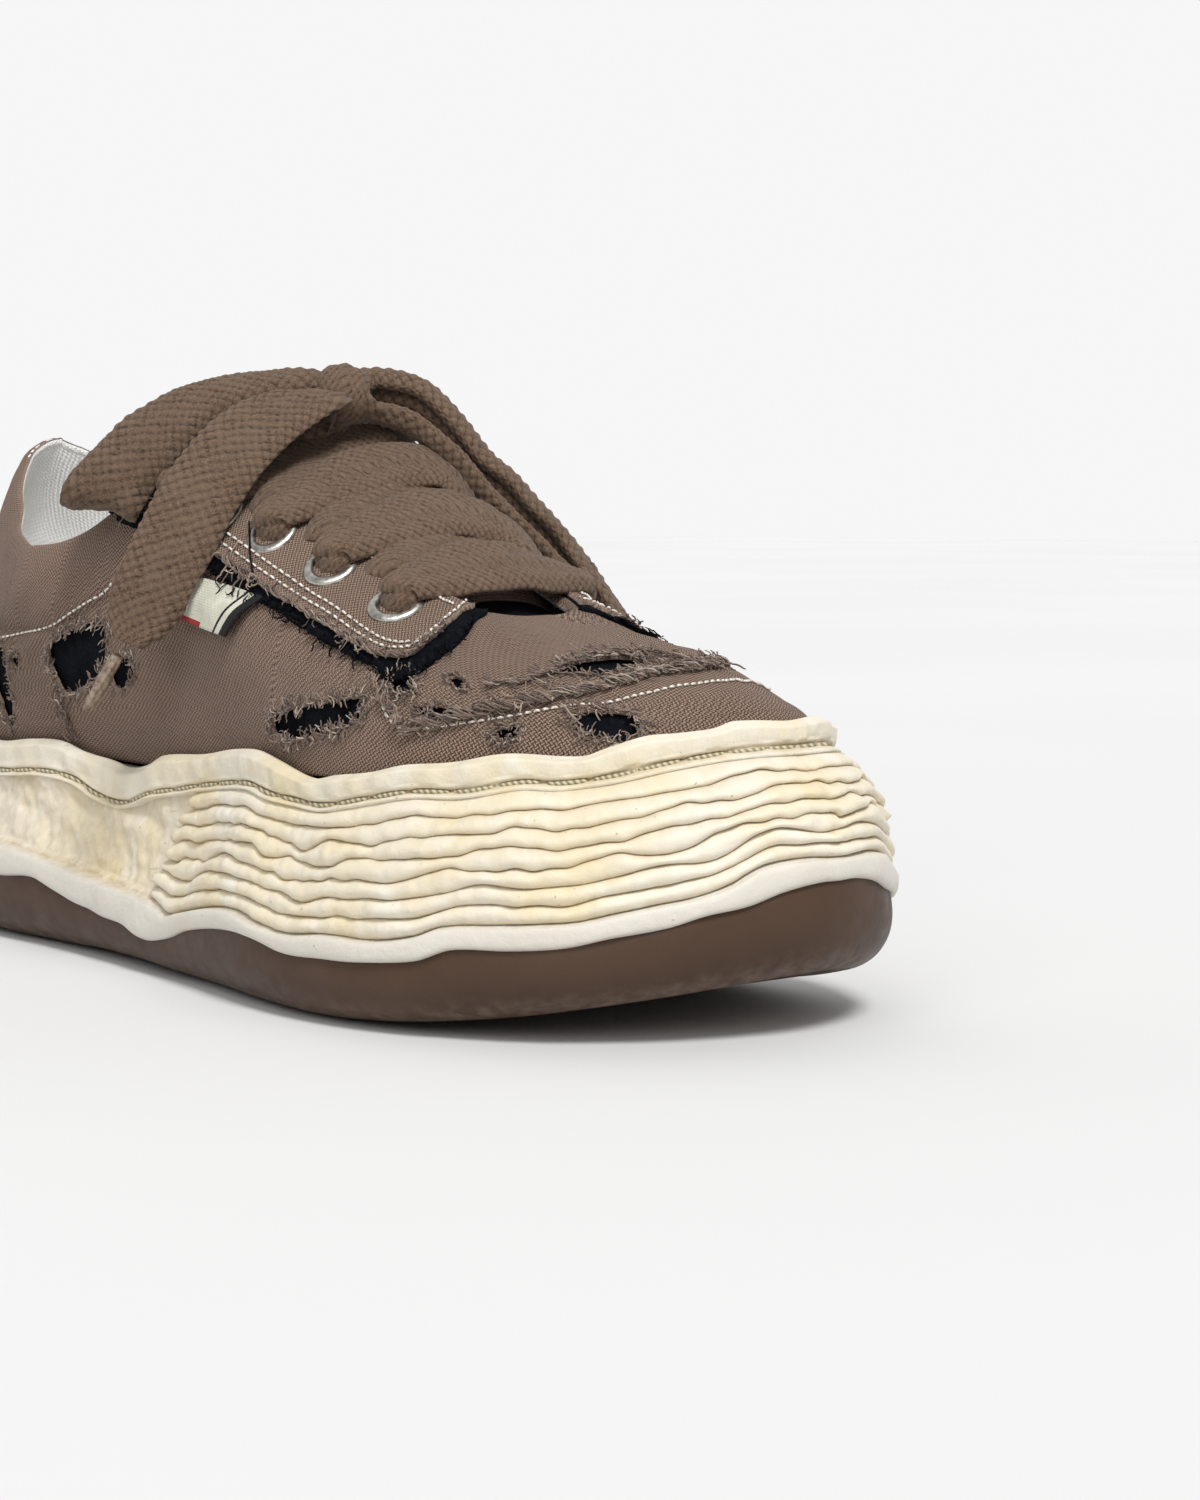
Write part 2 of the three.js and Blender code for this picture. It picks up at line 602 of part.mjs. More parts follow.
const MEDIAL_END = [
  [9, 8.8, 132.6, 0.1, 0.2, 0.97], [14, 14.4, 132, 0.3, 0.4, 0.86], [20, 20, 128.6, 0.45, 0.5, 0.74],
  [27, 27, 119.7, 0.5, 0.57, 0.65], [33.5, 32.2, 109.5, 0.5, 0.6, 0.62], [40, 36.6, 99.8, 0.5, 0.62, 0.6],
  [46.5, 40.2, 90.6, 0.48, 0.68, 0.55], [52, 43.2, 82.2, 0.45, 0.74, 0.5], [56.4, 45.4, 74.7, 0.4, 0.8, 0.44],
];
const MEDIAL_LOOP = [
  [9, 8.8, 129, 0.1, 0.2, 0.97], [13.5, 13.4, 128.2, 0.3, 0.4, 0.86], [18.7, 17.9, 124.7, 0.45, 0.5, 0.74],
  [24, 23, 117.8, 0.5, 0.57, 0.65], [28.8, 27, 110.4, 0.5, 0.6, 0.62], [32.8, 29.7, 104.8, 0.7, 0.6, 0.2],
  [33.3, 28.9, 101.3, 0.6, 0.1, -0.75], [30, 26, 102.4, -0.3, -0.5, -0.8],
  [25.8, 22.7, 107.6, -0.5, -0.6, -0.62], [20.5, 18.5, 114, -0.5, -0.57, -0.65],
  [15.5, 14, 119.8, -0.4, -0.5, -0.77], [10, 9.2, 123, -0.1, -0.2, -0.97],
];
const AGLET_RADIUS = 2;
const AGLET_SIDES = 10;
const LATERAL_AGLET = [[-8.8, -50.2, 71.4], [-17.5, -52.4, 59.5]];
const MEDIAL_AGLET = [[58, 46.4, 71], [61, 48.2, 57]];

function knotGeometry() {
  return new THREE.IcosahedronGeometry(1, 1).scale(...KNOT.size).translate(...KNOT.place);
}

function agletGeometry([from, to]) {
  const [start, end] = [new THREE.Vector3(...from), new THREE.Vector3(...to)];
  const rod = new THREE.CylinderGeometry(AGLET_RADIUS, AGLET_RADIUS, start.distanceTo(end), AGLET_SIDES);
  const normal = end.clone().sub(start).normalize();
  return placedOn(rod, { point: start.add(end).multiplyScalar(0.5), normal });
}

// ---- Finishes ----
const FINISHES = {
  canvas: { color: 0x84706a, roughness: 0.9, metalness: 0 },
  lining: { color: 0xe9e7e2, roughness: 0.9, metalness: 0 },
  foam: { color: 0xe6dfc9, roughness: 0.6, metalness: 0 },
  rubber: { color: 0x5b4a3e, roughness: 0.5, metalness: 0 },
  lace: { color: 0x7a6a5c, roughness: 0.95, metalness: 0 },
  nickel: { color: 0xb9b8b4, roughness: 0.3, metalness: 1 },
};

const shoe = new THREE.Group();

function add(name, geometry, finish) {
  const mesh = new THREE.Mesh(geometry, new THREE.MeshStandardMaterial(FINISHES[finish]));
  mesh.name = name;
  shoe.add(mesh);
}

add("outsole", outsoleGeometry(), "rubber");
add("midsole", midsoleGeometry(), "foam");
add("insole", insoleGeometry(), "lining");
add("upper", upperGeometry(), "canvas");
add("tongue", tongueGeometry(), "canvas");
EYELET_SEATS.forEach((seat, i) => {
  const side = i < EYELET_STATIONS.length ? "lateral" : "medial";
  add(`eyelet_${side}_${(i % EYELET_STATIONS.length) + 1}`, eyeletGeometry(seat), "nickel");
});
add("lace_bar", straightBar(EYELET_STATIONS[0]), "lace");
EYELET_STATIONS.slice(1, 4).forEach((x, i) => add(`lace_cross_${i + 1}`, crossing(x, CROSS_REACH), "lace"));
add("lace_tie", tiedStrands(), "lace");
add("lace_knot", knotGeometry(), "lace");
add("lace_loop_lateral", braid(LATERAL_LOOP, LACE_WIDTH, [1, 1]), "lace");
add("lace_loop_medial", braid(MEDIAL_LOOP, LACE_WIDTH, [1, 1]), "lace");
add("lace_end_lateral", braid(LATERAL_END, LACE_WIDTH, [1, 0]), "lace");
add("lace_end_medial", braid(MEDIAL_END, LACE_WIDTH, [1, 0]), "lace");
add("aglet_lateral", agletGeometry(LATERAL_AGLET), "lace");
add("aglet_medial", agletGeometry(MEDIAL_AGLET), "lace");

export default shoe;
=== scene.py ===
"""Worn low-top sneaker for the right foot: cupped wavy sole, torn canvas upper, tied flat lace."""

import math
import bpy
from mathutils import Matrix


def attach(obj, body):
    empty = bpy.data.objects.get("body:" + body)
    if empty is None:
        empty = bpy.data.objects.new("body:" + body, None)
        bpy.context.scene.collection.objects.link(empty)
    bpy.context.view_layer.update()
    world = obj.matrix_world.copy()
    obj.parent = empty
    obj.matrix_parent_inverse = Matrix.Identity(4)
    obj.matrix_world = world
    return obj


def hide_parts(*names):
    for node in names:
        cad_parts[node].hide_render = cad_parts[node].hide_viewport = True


bl_info = {
    "name": "Worn Low-Top Sneaker",
    "version": (1, 0, 0),
    "blender": (4, 5, 0),
    "location": "3D View > Sidebar > Sneaker",
    "description": "Builds the pieces of a worn low-top sneaker over its frame",
    "category": "Add Mesh",
}

import bpy
import numpy as np
from bpy.props import FloatProperty, FloatVectorProperty, IntProperty, PointerProperty
from mathutils import Matrix, Vector

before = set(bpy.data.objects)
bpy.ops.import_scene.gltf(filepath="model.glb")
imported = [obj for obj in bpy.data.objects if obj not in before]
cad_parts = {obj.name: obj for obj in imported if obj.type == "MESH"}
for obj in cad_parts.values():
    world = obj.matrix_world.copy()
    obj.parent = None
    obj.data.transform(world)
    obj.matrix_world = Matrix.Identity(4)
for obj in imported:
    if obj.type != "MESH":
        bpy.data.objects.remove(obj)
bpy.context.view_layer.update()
MM = 0.001

# ---- The last: the same driving sizes as the frame, in millimetres ----
SOLE_LENGTH, BALL_WIDTH, INSTEP_HEIGHT = 300.0, 111.0, 116.0
TOE_SPRING, HEEL_SPRING, ARCH_LIFT = 12.0, 4.0, 3.0
TOE_BREAK, HEEL_BREAK = 50.0, -112.0
GAP, PLATFORM_HEIGHT = 0.3, 41.0
RIM_INSET, TOE_FLARE, RIM_THICKNESS, FEATHER_GAP = 8.0, 4.5, 4.2, 0.4
WALL, HEEL_OFFSET, MEDIAL_RAISE = 2.4, 5.0, 2.0
LATERAL_OUTLINE = (
    (0.035, 0.31), (0.107, 0.6), (0.205, 0.69), (0.35, 0.72), (0.5, 0.82),
    (0.65, 0.985), (0.77, 0.97), (0.875, 0.76), (0.945, 0.45), (0.985, 0.12),
)
MEDIAL_OUTLINE = (
    (0.04, 0.56), (0.115, 0.78), (0.23, 0.775), (0.365, 0.67), (0.5, 0.68),
    (0.63, 0.85), (0.735, 0.975), (0.845, 0.99), (0.93, 0.85), (0.98, 0.57),
)
TOE_TIP, HEEL_TIP = (1.0, 0.21), (0.0, 0.11)
# share of the way from toe to heel, top point (y outwards, z a share of the instep), rise, lean, handle
STATIONS = (
    (0, (73, 3, 0.7), 10, -5, (28, 0, -6)),
    (0.08, (73.5, 5, 0.7), 10, -5, (25, 9, -6.5)),
    (0.16, (72.5, 11, 0.705), 11, -3.5, (17, 16, -7.5)),
    (0.24, (67.5, 15.5, 0.715), 13, -1.5, (8, 19, -9)),
    (0.33, (56, 16.5, 0.755), 15, 0.5, (2, 21, -10.5)),
    (0.46, (21, 18.5, 0.88), 22, 3, (0, 21, -13)),
    (0.52, (2, 20, 0.935), 24, 4, (0, 20, -15)),
    (0.585, (-19, 22.5, 0.98), 25, 5, (0, 17, -19)),
    (0.64, (-34, 27.5, 0.92), 24, 6, (0, 11, -20)),
    (0.7, (-48, 33.5, 0.84), 18, 6, (0, 5, -18)),
    (0.76, (-63, 36.5, 0.81), 15, 6, (0, 2, -15)),
    (0.83, (-84, 36, 0.82), 15, 6, (0, 2, -15)),
    (0.9, (-103.5, 30.5, 0.905), 17, 5, (-1, 2, -18)),
    (0.95, (-121, 19.5, 1), 19, 4, (-4, 2, -21)),
    (0.98, (-127.5, 9, 1.045), 20, 3.5, (-5.5, 1, -23)),
    (1, (-129.5, 1.5, 1.06), 20, 3, (-6, 0, -24)),
)
RIM_HEIGHT = ((-150, 47), (-50, 47.5), (50, 51), (150, 51.5))


def smooth(low, high, x):
    """Smooth step from 0 at low to 1 at high."""
    t = np.clip((x - low) / (high - low), 0, 1)
    return t * t * (3 - 2 * t)


def profile(points, x):
    """Value at x on a smooth line through (place, value) pairs."""
    px, py = np.array(points, float).T
    x = np.clip(x, px[0], px[-1])
    i = np.clip(np.searchsorted(px, x, side="right") - 1, 0, len(px) - 2)
    return py[i] + (py[i + 1] - py[i]) * smooth(px[i], px[i + 1], x)


def spring(x):
    """How far the ground line lifts off at the toe and the heel."""
    half = SOLE_LENGTH / 2
    toe = np.maximum(0, (x - TOE_BREAK) / (half - TOE_BREAK))
    heel = np.maximum(0, (HEEL_BREAK - x) / (half + HEEL_BREAK))
    return TOE_SPRING * toe**2 + HEEL_SPRING * heel**2


def rim_inset(x):
    """How far the sole's rim stands in from its widest outline."""
    return RIM_INSET + TOE_FLARE * smooth(60, 150, x)


def halves():
    """The plan outline as two even polylines, toe to heel down the lateral side and back up the medial."""
    def place(pair, sign):
        return ((pair[0] - 0.5) * SOLE_LENGTH, sign * pair[1] * BALL_WIDTH / 2)
    pts = [place(TOE_TIP, 1), *(place(p, -1) for p in LATERAL_OUTLINE[::-1]), place(HEEL_TIP, 1),
           *(place(p, 1) for p in MEDIAL_OUTLINE)]
    pts = np.array(pts)
    n = len(pts)
    t = np.linspace(0, 1, 200, endpoint=False)[:, None]
    dense = []
    for i in range(n):
        p0, p1, p2, p3 = pts[i - 1], pts[i], pts[(i + 1) % n], pts[(i + 2) % n]
        m1, m2 = (p2 - p0) / 2, (p3 - p1) / 2
        dense.append((2*t**3 - 3*t**2 + 1) * p1 + (t**3 - 2*t**2 + t) * m1
                     + (3*t**2 - 2*t**3) * p2 + (t**3 - t**2) * m2)
    dense = np.concatenate(dense)
    dense = np.roll(dense, -int(dense[:, 0].argmax()), axis=0)
    heel = int(dense[:, 0].argmin())
    return [dense[: heel + 1], np.concatenate([dense[heel:], dense[:1]])]


def even(line):
    """Share of the line's length up to each of its points, and the whole length."""
    steps = np.linalg.norm(np.diff(line, axis=0), axis=1)
    share = np.concatenate([[0], np.cumsum(steps)])
    return share / share[-1], share[-1]


HALVES = halves()
SHARES = [even(h) for h in HALVES]


def outline(a):
    """The outline's plan point at a: 0 at the toe tip, 1 at the heel, 2 at the toe again."""
    a = np.mod(np.asarray(a, float), 2)
    out = np.zeros(a.shape + (2,))
    for k in (0, 1):
        mine = (a < 1) if k == 0 else (a >= 1)
        share = SHARES[k][0]
        for c in (0, 1):
            out[mine, c] = np.interp(a[mine] - k, share, HALVES[k][:, c])
    return out


def inward(a, step=1 / 36):
    """Level direction into the shoe from the outline at a."""
    along = outline(a + step) - outline(a - step)
    along /= np.linalg.norm(along, axis=-1, keepdims=True)
    return np.stack([along[..., 1], -along[..., 0], np.zeros(along.shape[:-1])], -1)


def between(at, values, u):
    """Values at u on a smooth line through the values at the places at."""
    i = np.maximum(1, np.searchsorted(at, u, side="left")) - 1
    i = np.minimum(i, len(at) - 2)
    k = [np.maximum(i - 1, 0), i, i + 1, np.minimum(i + 2, len(at) - 1)]
    v = [values[j] for j in k]
    span = at[k[2]] - at[k[1]]
    pad = (Ellipsis,) + (None,) * (values.ndim - 1)
    slope_in = (v[2] - v[0]) / np.maximum(at[k[2]] - at[k[0]], 1e-6)[pad] * span[pad]
    slope_out = (v[3] - v[1]) / np.maximum(at[k[3]] - at[k[1]], 1e-6)[pad] * span[pad]
    t = ((u - at[k[1]]) / span)[pad]
    return ((2*t**3 - 3*t**2 + 1) * v[1] + (t**3 - 2*t**2 + t) * slope_in
            + (3*t**2 - 2*t**3) * v[2] + (t**3 - t**2) * slope_out)


def station_table(sign):
    """One side's stations, places and values apart, with a mirrored one past each end."""
    rows = [np.array([s[0], s[1][0], sign * s[1][1], s[1][2], s[2], s[3], s[4][0], sign * s[4][1], s[4][2]])
            for s in STATIONS]
    for end in (0, -1):  # the toe's and heel's own points lie on the medial side of the centre line
        rows[end][[2, 7]] *= sign

    def beyond(row, end):
        row = row.copy()
        row[0] = 2 * end - row[0]
        row[[2, 7]] *= -1
        return row

    rows = [beyond(rows[1], 0), *rows, beyond(rows[-2], 1)]
    table = np.array(rows)
    return table[:, 0], table[:, 1:]


TABLES = [station_table(-1), station_table(1)]


def arch(a):
    """The four control points of the wall's arch at each a, from the sole's rim to the top edge."""
    a = np.mod(np.asarray(a, float), 2)
    lateral = a <= 1
    u = np.where(lateral, a, 2 - a)
    values = np.where(lateral[..., None], between(*TABLES[0], u), between(*TABLES[1], u))
    base = outline(a)
    lean = inward(a)
    inset = rim_inset(base[..., 0]) + RIM_THICKNESS + FEATHER_GAP
    start = np.concatenate([base, np.zeros(base.shape[:-1] + (1,))], -1) + lean * inset[..., None]
    start[..., 2] = spring(start[..., 0]) + profile(RIM_HEIGHT, start[..., 0]) + 0.8
    top = values[..., 0:3].copy()
    top[..., 1] += HEEL_OFFSET * (1 - smooth(-120, -20, top[..., 0]))
    raised = np.where(lateral, 0, MEDIAL_RAISE * smooth(0.6, 0.75, u) * (1 - smooth(0.85, 1, u)))
    top[..., 2] = top[..., 2] * INSTEP_HEIGHT + raised
    rise = start - lean * values[..., 4:5]
    rise[..., 2] += values[..., 3]
    return start, rise, top + values[..., 5:8], top


ARCH_STEPS = np.linspace(0, 1, 49)


def last(a, v):
    """Points of the canvas wall: a round the shoe, v from the sole's rim (0) to the top edge (1)."""
    a, v = np.broadcast_arrays(np.asarray(a, float), np.asarray(v, float))
    shape = a.shape
    ctl = np.stack(arch(a.ravel()), 1)
    t = ARCH_STEPS[None, :, None]
    pts = ((1-t)**3 * ctl[:, None, 0] + 3*(1-t)**2*t * ctl[:, None, 1]
           + 3*(1-t)*t**2 * ctl[:, None, 2] + t**3 * ctl[:, None, 3])
    steps = np.linalg.norm(np.diff(pts, axis=1), axis=2)
    length = np.concatenate([np.zeros((len(pts), 1)), np.cumsum(steps, 1)], 1)
    share = length / length[:, -1:]
    want = np.clip(v.ravel(), -0.2, 1)
    k = np.clip((share < np.clip(want, 0, 1)[:, None]).sum(1) - 1, 0, len(ARCH_STEPS) - 2)
    rows = np.arange(len(pts))
    f = (want - share[rows, k]) / (share[rows, k + 1] - share[rows, k])
    out = pts[rows, k] + (pts[rows, k + 1] - pts[rows, k]) * f[:, None]
    return out.reshape(shape + (3,)), length[:, -1].reshape(shape)


def wall_normal(a, v, da=0.002, dv=0.01):
    """The way the canvas wall faces, outwards."""
    v = np.clip(v, dv, 1 - dv)
    around = last(a + da, v)[0] - last(a - da, v)[0]
    up = last(a, v + dv)[0] - last(a, v - dv)[0]
    n = -np.cross(around, up)
    return n / np.linalg.norm(n, axis=-1, keepdims=True)


# ---- Mesh help ----
def sweep_noise(seed, x, size, count=5):
    """Smooth seeded noise in one direction, about -1 to 1, with bumps about size apart."""
    rng = np.random.RandomState(seed)
    out = np.zeros_like(np.asarray(x, float))
    for _ in range(count):
        out += np.sin(np.asarray(x) * 2 * np.pi / (size * rng.uniform(0.7, 1.9)) + rng.uniform(0, 6.28))
    return out / count ** 0.5 / 1.2


def field_noise(seed, x, y, size, count=9):
    """Smooth seeded noise over a surface, about -1 to 1."""
    rng = np.random.RandomState(seed)
    out = 0
    for _ in range(count):
        turn, wave = rng.uniform(0, 6.28), 2 * np.pi / (size * rng.uniform(0.7, 2.0))
        out = out + np.sin((x * np.cos(turn) + y * np.sin(turn)) * wave + rng.uniform(0, 6.28))
    return out / count ** 0.5


def grid_faces(rows, columns, closed=False):
    """Faces over a grid of points; closed joins its last column to its first."""
    r, c = np.meshgrid(np.arange(rows - 1), np.arange(columns if closed else columns - 1), indexing="ij")
    r, c = r.ravel(), c.ravel()
    d = (c + 1) % columns
    return np.stack([r * columns + c, r * columns + d, (r + 1) * columns + d, (r + 1) * columns + c], 1)


def make_piece(name, points, faces, finish, nodes=(), uv=None, values=None):
    """A mesh piece from points in millimetres and faces of three or four corners."""
    points = np.asarray(points, float).reshape(-1, 3)
    mesh = bpy.data.meshes.new(name)
    if isinstance(faces, np.ndarray):
        width = faces.shape[1]
        mesh.vertices.add(len(points))
        mesh.vertices.foreach_set("co", (points * MM).ravel().astype(np.float32))
        mesh.loops.add(faces.size)
        mesh.loops.foreach_set("vertex_index", faces.ravel().astype(np.int32))
        mesh.polygons.add(len(faces))
        mesh.polygons.foreach_set("loop_start", np.arange(0, faces.size, width, dtype=np.int32))
        mesh.update(calc_edges=True)
    else:
        mesh.from_pydata((points * MM).tolist(), [], [tuple(int(i) for i in f) for f in faces])
        mesh.update()
    corners = np.empty(len(mesh.loops), np.int32)
    mesh.loops.foreach_get("vertex_index", corners)
    if uv is not None:
        layer = mesh.uv_layers.new(name="cloth")
        layer.data.foreach_set("uv", np.asarray(uv, np.float32).reshape(-1, 2)[corners].ravel())
    for key, numbers in (values or {}).items():
        attribute = mesh.attributes.new(key, "FLOAT", "POINT")
        attribute.data.foreach_set("value", np.asarray(numbers, np.float32).ravel())
    mesh.shade_smooth()
    mesh.validate()
    obj = bpy.data.objects.new(name, mesh)
    bpy.context.collection.objects.link(obj)
    return finish_piece(obj, finish, nodes)


def finish_piece(obj, finish, nodes=()):
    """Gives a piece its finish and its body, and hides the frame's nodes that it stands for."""
    obj.data.materials.clear()
    obj.data.materials.append(finish)
    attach(obj, "root")
    if nodes:
        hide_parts(*nodes)
    return obj


def catmull(points, per=12, closed=False):
    """A smooth dense line through the points; columns beyond the third follow along."""
    p = np.asarray(points, float)
    n = len(p)
    t = np.linspace(0, 1, per, endpoint=False)[:, None]
    out = []
    for i in range(n if closed else n - 1):
        if closed:
            p0, p1, p2, p3 = p[i - 1], p[i], p[(i + 1) % n], p[(i + 2) % n]
        else:
            p1, p2 = p[i], p[i + 1]
            p0 = p[i - 1] if i else 2 * p1 - p2
            p3 = p[i + 2] if i + 2 < n else 2 * p2 - p1
        m1, m2 = (p2 - p0) / 2, (p3 - p1) / 2
        out.append((2*t**3 - 3*t**2 + 1) * p1 + (t**3 - 2*t**2 + t) * m1
                   + (3*t**2 - 2*t**3) * p2 + (t**3 - t**2) * m2)
    if not closed:
        out.append(p[-1:])
    return np.concatenate(out)


def respace(line, step):
    """The line's points again at an even step along its first three columns."""
    gone = np.linalg.norm(np.diff(line[:, :3], axis=0), axis=1)
    length = np.concatenate([[0], np.cumsum(gone)])
    count = max(4, int(round(length[-1] / step)))
    want = np.linspace(0, length[-1], count + 1)
    return np.stack([np.interp(want, length, line[:, c]) for c in range(line.shape[1])], 1), want


def unit(v):
    """The vectors at length 1."""
    return v / np.maximum(np.linalg.norm(v, axis=-1, keepdims=True), 1e-9)


def tube_mesh(lines, radius, sides=5, taper=0.35):
    """Thin round strands joined in one mesh: points, faces and a number for each strand."""
    points, faces, tone = [], [], []
    base = 0
    ring = np.linspace(0, 2 * np.pi, sides, endpoint=False)
    for k, line in enumerate(lines):
        line = np.asarray(line, float)
        n = len(line)
        along = unit(np.gradient(line, axis=0))
        ref = np.array([0.3, 0.2, 0.93]) if abs(along[0][2]) < 0.8 else np.array([1.0, 0.1, 0.1])
        side = unit(np.cross(along, ref))
        up = np.cross(side, along)
        size = radius[k] if np.ndim(radius) else radius
        share = np.linspace(0, 1, n)
        r = size * (taper + (1 - taper) * np.sin(np.pi * np.clip(share, 0.02, 0.98)) ** 0.35)
        p = line[:, None] + r[:, None, None] * (np.cos(ring)[None, :, None] * side[:, None]
                                                + np.sin(ring)[None, :, None] * up[:, None])
        points.append(p.reshape(-1, 3))
        f = grid_faces(n, sides, closed=True) + base
        faces.extend(map(tuple, f[:, ::-1]))
        faces.append(tuple(range(base, base + sides)))
        faces.append(tuple(range(base + (n - 1) * sides, base + n * sides))[::-1])
        tone.append(np.full(n * sides, k))
        base += n * sides
    return np.concatenate(points), faces, np.concatenate(tone)


# ---- Finishes ----
def linear(colour):
    """An sRGB hex colour as linear light."""
    parts = [int(colour[i:i + 2], 16) / 255 for i in (0, 2, 4)]
    return (*(c / 12.92 if c <= 0.04045 else ((c + 0.055) / 1.055) ** 2.4 for c in parts), 1)


def add_node(tree, kind, links=None, **settings):
    """Adds a node; links gives a socket or a value for each input, by name or number."""
    node = tree.nodes.new(kind)
    for key, value in settings.items():
        setattr(node, key, value)
    for key, value in (links or {}).items():
        if isinstance(value, bpy.types.NodeSocket):
            tree.links.new(value, node.inputs[key])
        else:
            node.inputs[key].default_value = value
    return node


def new_finish(name, roughness, **shader):
    """A new material with one shader: the material, its tree and the shader."""
    finish = bpy.data.materials.new(name)
    finish.use_nodes = True
    tree = finish.node_tree
    tree.nodes.clear()
    surface = add_node(tree, "ShaderNodeBsdfPrincipled", {"Roughness": roughness, **shader})
    add_node(tree, "ShaderNodeOutputMaterial", {"Surface": surface.outputs[0]})
    return finish, tree, surface


def noise(tree, size_mm, detail=3):
    """Noise in the piece's own coordinates, with bumps about size_mm across."""
    place = add_node(tree, "ShaderNodeTexCoord").outputs["Object"]
    return add_node(tree, "ShaderNodeTexNoise", {
        "Vector": place, "Scale": 1 / (size_mm * MM), "Detail": detail, "Roughness": 0.55}).outputs["Fac"]


def span(tree, value, low, high, to_low=0, to_high=1):
    """The value moved from low..high to to_low..to_high and held within it."""
    return add_node(tree, "ShaderNodeMapRange", {
        "Value": value, "From Min": low, "From Max": high, "To Min": to_low, "To Max": to_high}).outputs[0]


def blend(tree, share, first, second):
    """A mix of two colours by share."""
    return add_node(tree, "ShaderNodeMix", {0: share, 6: first, 7: second}, data_type="RGBA").outputs[2]


def reckon(tree, operation, first, second=0.0):
    """One operation on two numbers."""
    return add_node(tree, "ShaderNodeMath", {0: first, 1: second}, operation=operation).outputs[0]


def value_of(tree, key):
    """The piece's own number of that name."""
    return add_node(tree, "ShaderNodeAttribute", attribute_name=key).outputs["Fac"]


def plain_weave(tree, spacing):
    """Height of a plain weave on the cloth map, whose units are millimetres: one thread over, one under."""
    uv = add_node(tree, "ShaderNodeUVMap", uv_map="cloth").outputs[0]
    parts = add_node(tree, "ShaderNodeSeparateXYZ", {0: uv})
    turns = [reckon(tree, "MULTIPLY", parts.outputs[k], math.pi / spacing) for k in (0, 1)]
    thread = [reckon(tree, "ABSOLUTE", reckon(tree, "SINE", turn)) for turn in turns]
    over = add_node(tree, "ShaderNodeTexChecker", {"Vector": uv, "Scale": 1 / spacing}).outputs["Fac"]
    return add_node(tree, "ShaderNodeMix", {0: over, 2: thread[0], 3: thread[1]},
                    data_type="FLOAT").outputs[0]


def bumped(tree, surface, height, depth_mm):
    """Gives the surface the height as a relief depth_mm deep."""
    bump = add_node(tree, "ShaderNodeBump", {"Height": height, "Distance": depth_mm * MM, "Strength": 1.0})
    tree.links.new(bump.outputs[0], surface.inputs["Normal"])


def colour_of(name):
    """A colour from the add-on's settings."""
    return (*getattr(bpy.context.scene.sneaker_colours, name), 1)


def shade(colour, share):
    """The colour made lighter (share over 1) or darker."""
    return (*(min(1, c * share) for c in colour[:3]), 1)


def cotton_canvas():
    """Washed cotton canvas: a matt plain weave with painted shade between its threads and a painted highlight
    on their crowns, paler where it is worn.
    """
    finish, tree, surface = new_finish(
        "washed_cotton_canvas", 0.95, **{"Sheen Weight": 0.08, "Specular IOR Level": 0.2})
    base = colour_of("canvas")
    weave = plain_weave(tree, bpy.context.scene.sneaker_sizes.canvas_thread / MM)
    cloth = blend(tree, span(tree, noise(tree, 34), 0.35, 0.65), shade(base, 0.88), shade(base, 1.12))
    fleck = span(tree, noise(tree, 1.1, 2), 0.3, 0.7, 0.0, 0.35)
    cloth = blend(tree, fleck, cloth, linear("a38a78"))
    # Painted shade: the gaps between the weave's threads are mixed towards dark brown.
    threads = blend(tree, span(tree, weave, 0.15, 0.95), blend(tree, 0.9, cloth, linear("33261f")), cloth)
    # Painted highlight: the tops of the weave's threads are mixed towards pale tan.
    crowns = blend(tree, span(tree, weave, 0.75, 1.0, 0, 0.4), threads, linear("b89f8c"))
    worn = reckon(tree, "MULTIPLY", value_of(tree, "wear"), span(tree, noise(tree, 1.6), 0.35, 0.6, 0.35, 1))
    tree.links.new(blend(tree, worn, crowns, linear("988474")), surface.inputs["Base Color"])
    height = reckon(tree, "ADD", weave, reckon(tree, "MULTIPLY", noise(tree, 0.5, 2), 0.5))
    bumped(tree, surface, height, 0.34)
    return finish


def black_felt():
    """Needled black backing felt: soft, matt, faintly blue, with lint on it."""
    finish, tree, surface = new_finish("black_backing_felt", 1.0, **{"Specular IOR Level": 0.1})
    lint = span(tree, noise(tree, 0.9, 4), 0.56, 0.72, 0, 0.3)
    ground = blend(tree, span(tree, noise(tree, 5), 0.35, 0.65), linear("06070b"), linear("13151b"))
    tree.links.new(blend(tree, lint, ground, linear("33323a")), surface.inputs["Base Color"])
    bumped(tree, surface, noise(tree, 0.6, 4), 0.35)
    return finish


def lining_knit():
    """White brushed knit lining: fine ribs and a soft grey shade where it has been handled."""
    finish, tree, surface = new_finish("white_knit_lining", 0.9, **{"Sheen Weight": 0.9})
    soil = span(tree, noise(tree, 22), 0.45, 0.75, 0, 0.3)
    tree.links.new(blend(tree, soil, colour_of("lining"), linear("cfccc6")), surface.inputs["Base Color"])
    bumped(tree, surface, plain_weave(tree, 0.7), 0.14)
    return finish


def spun_braid():
    """Soft spun-cotton braid: heathered browns, with painted shade in the hollows between its strands, hairy.
    """
    finish, tree, surface = new_finish(
        "spun_cotton_braid", 0.95, **{"Sheen Weight": 0.12, "Specular IOR Level": 0.15})
    base = colour_of("lace")
    fibre = blend(tree, span(tree, noise(tree, 0.45, 3), 0.35, 0.65), shade(base, 0.72), shade(base, 1.35))
    heather = blend(tree, span(tree, noise(tree, 7), 0.4, 0.65, 0, 0.5), fibre, linear("7b6757"))
    # Painted shade: the braid is mixed towards near black in the hollows between its strands.
    hollow_shade = reckon(tree, "POWER", value_of(tree, "hollow_shade"), 1.5)
    tree.links.new(blend(tree, reckon(tree, "MULTIPLY", hollow_shade, 0.9), heather, linear("1d1611")),
                   surface.inputs["Base Color"])
    bumped(tree, surface, noise(tree, 0.35, 3), 0.2)
    return finish


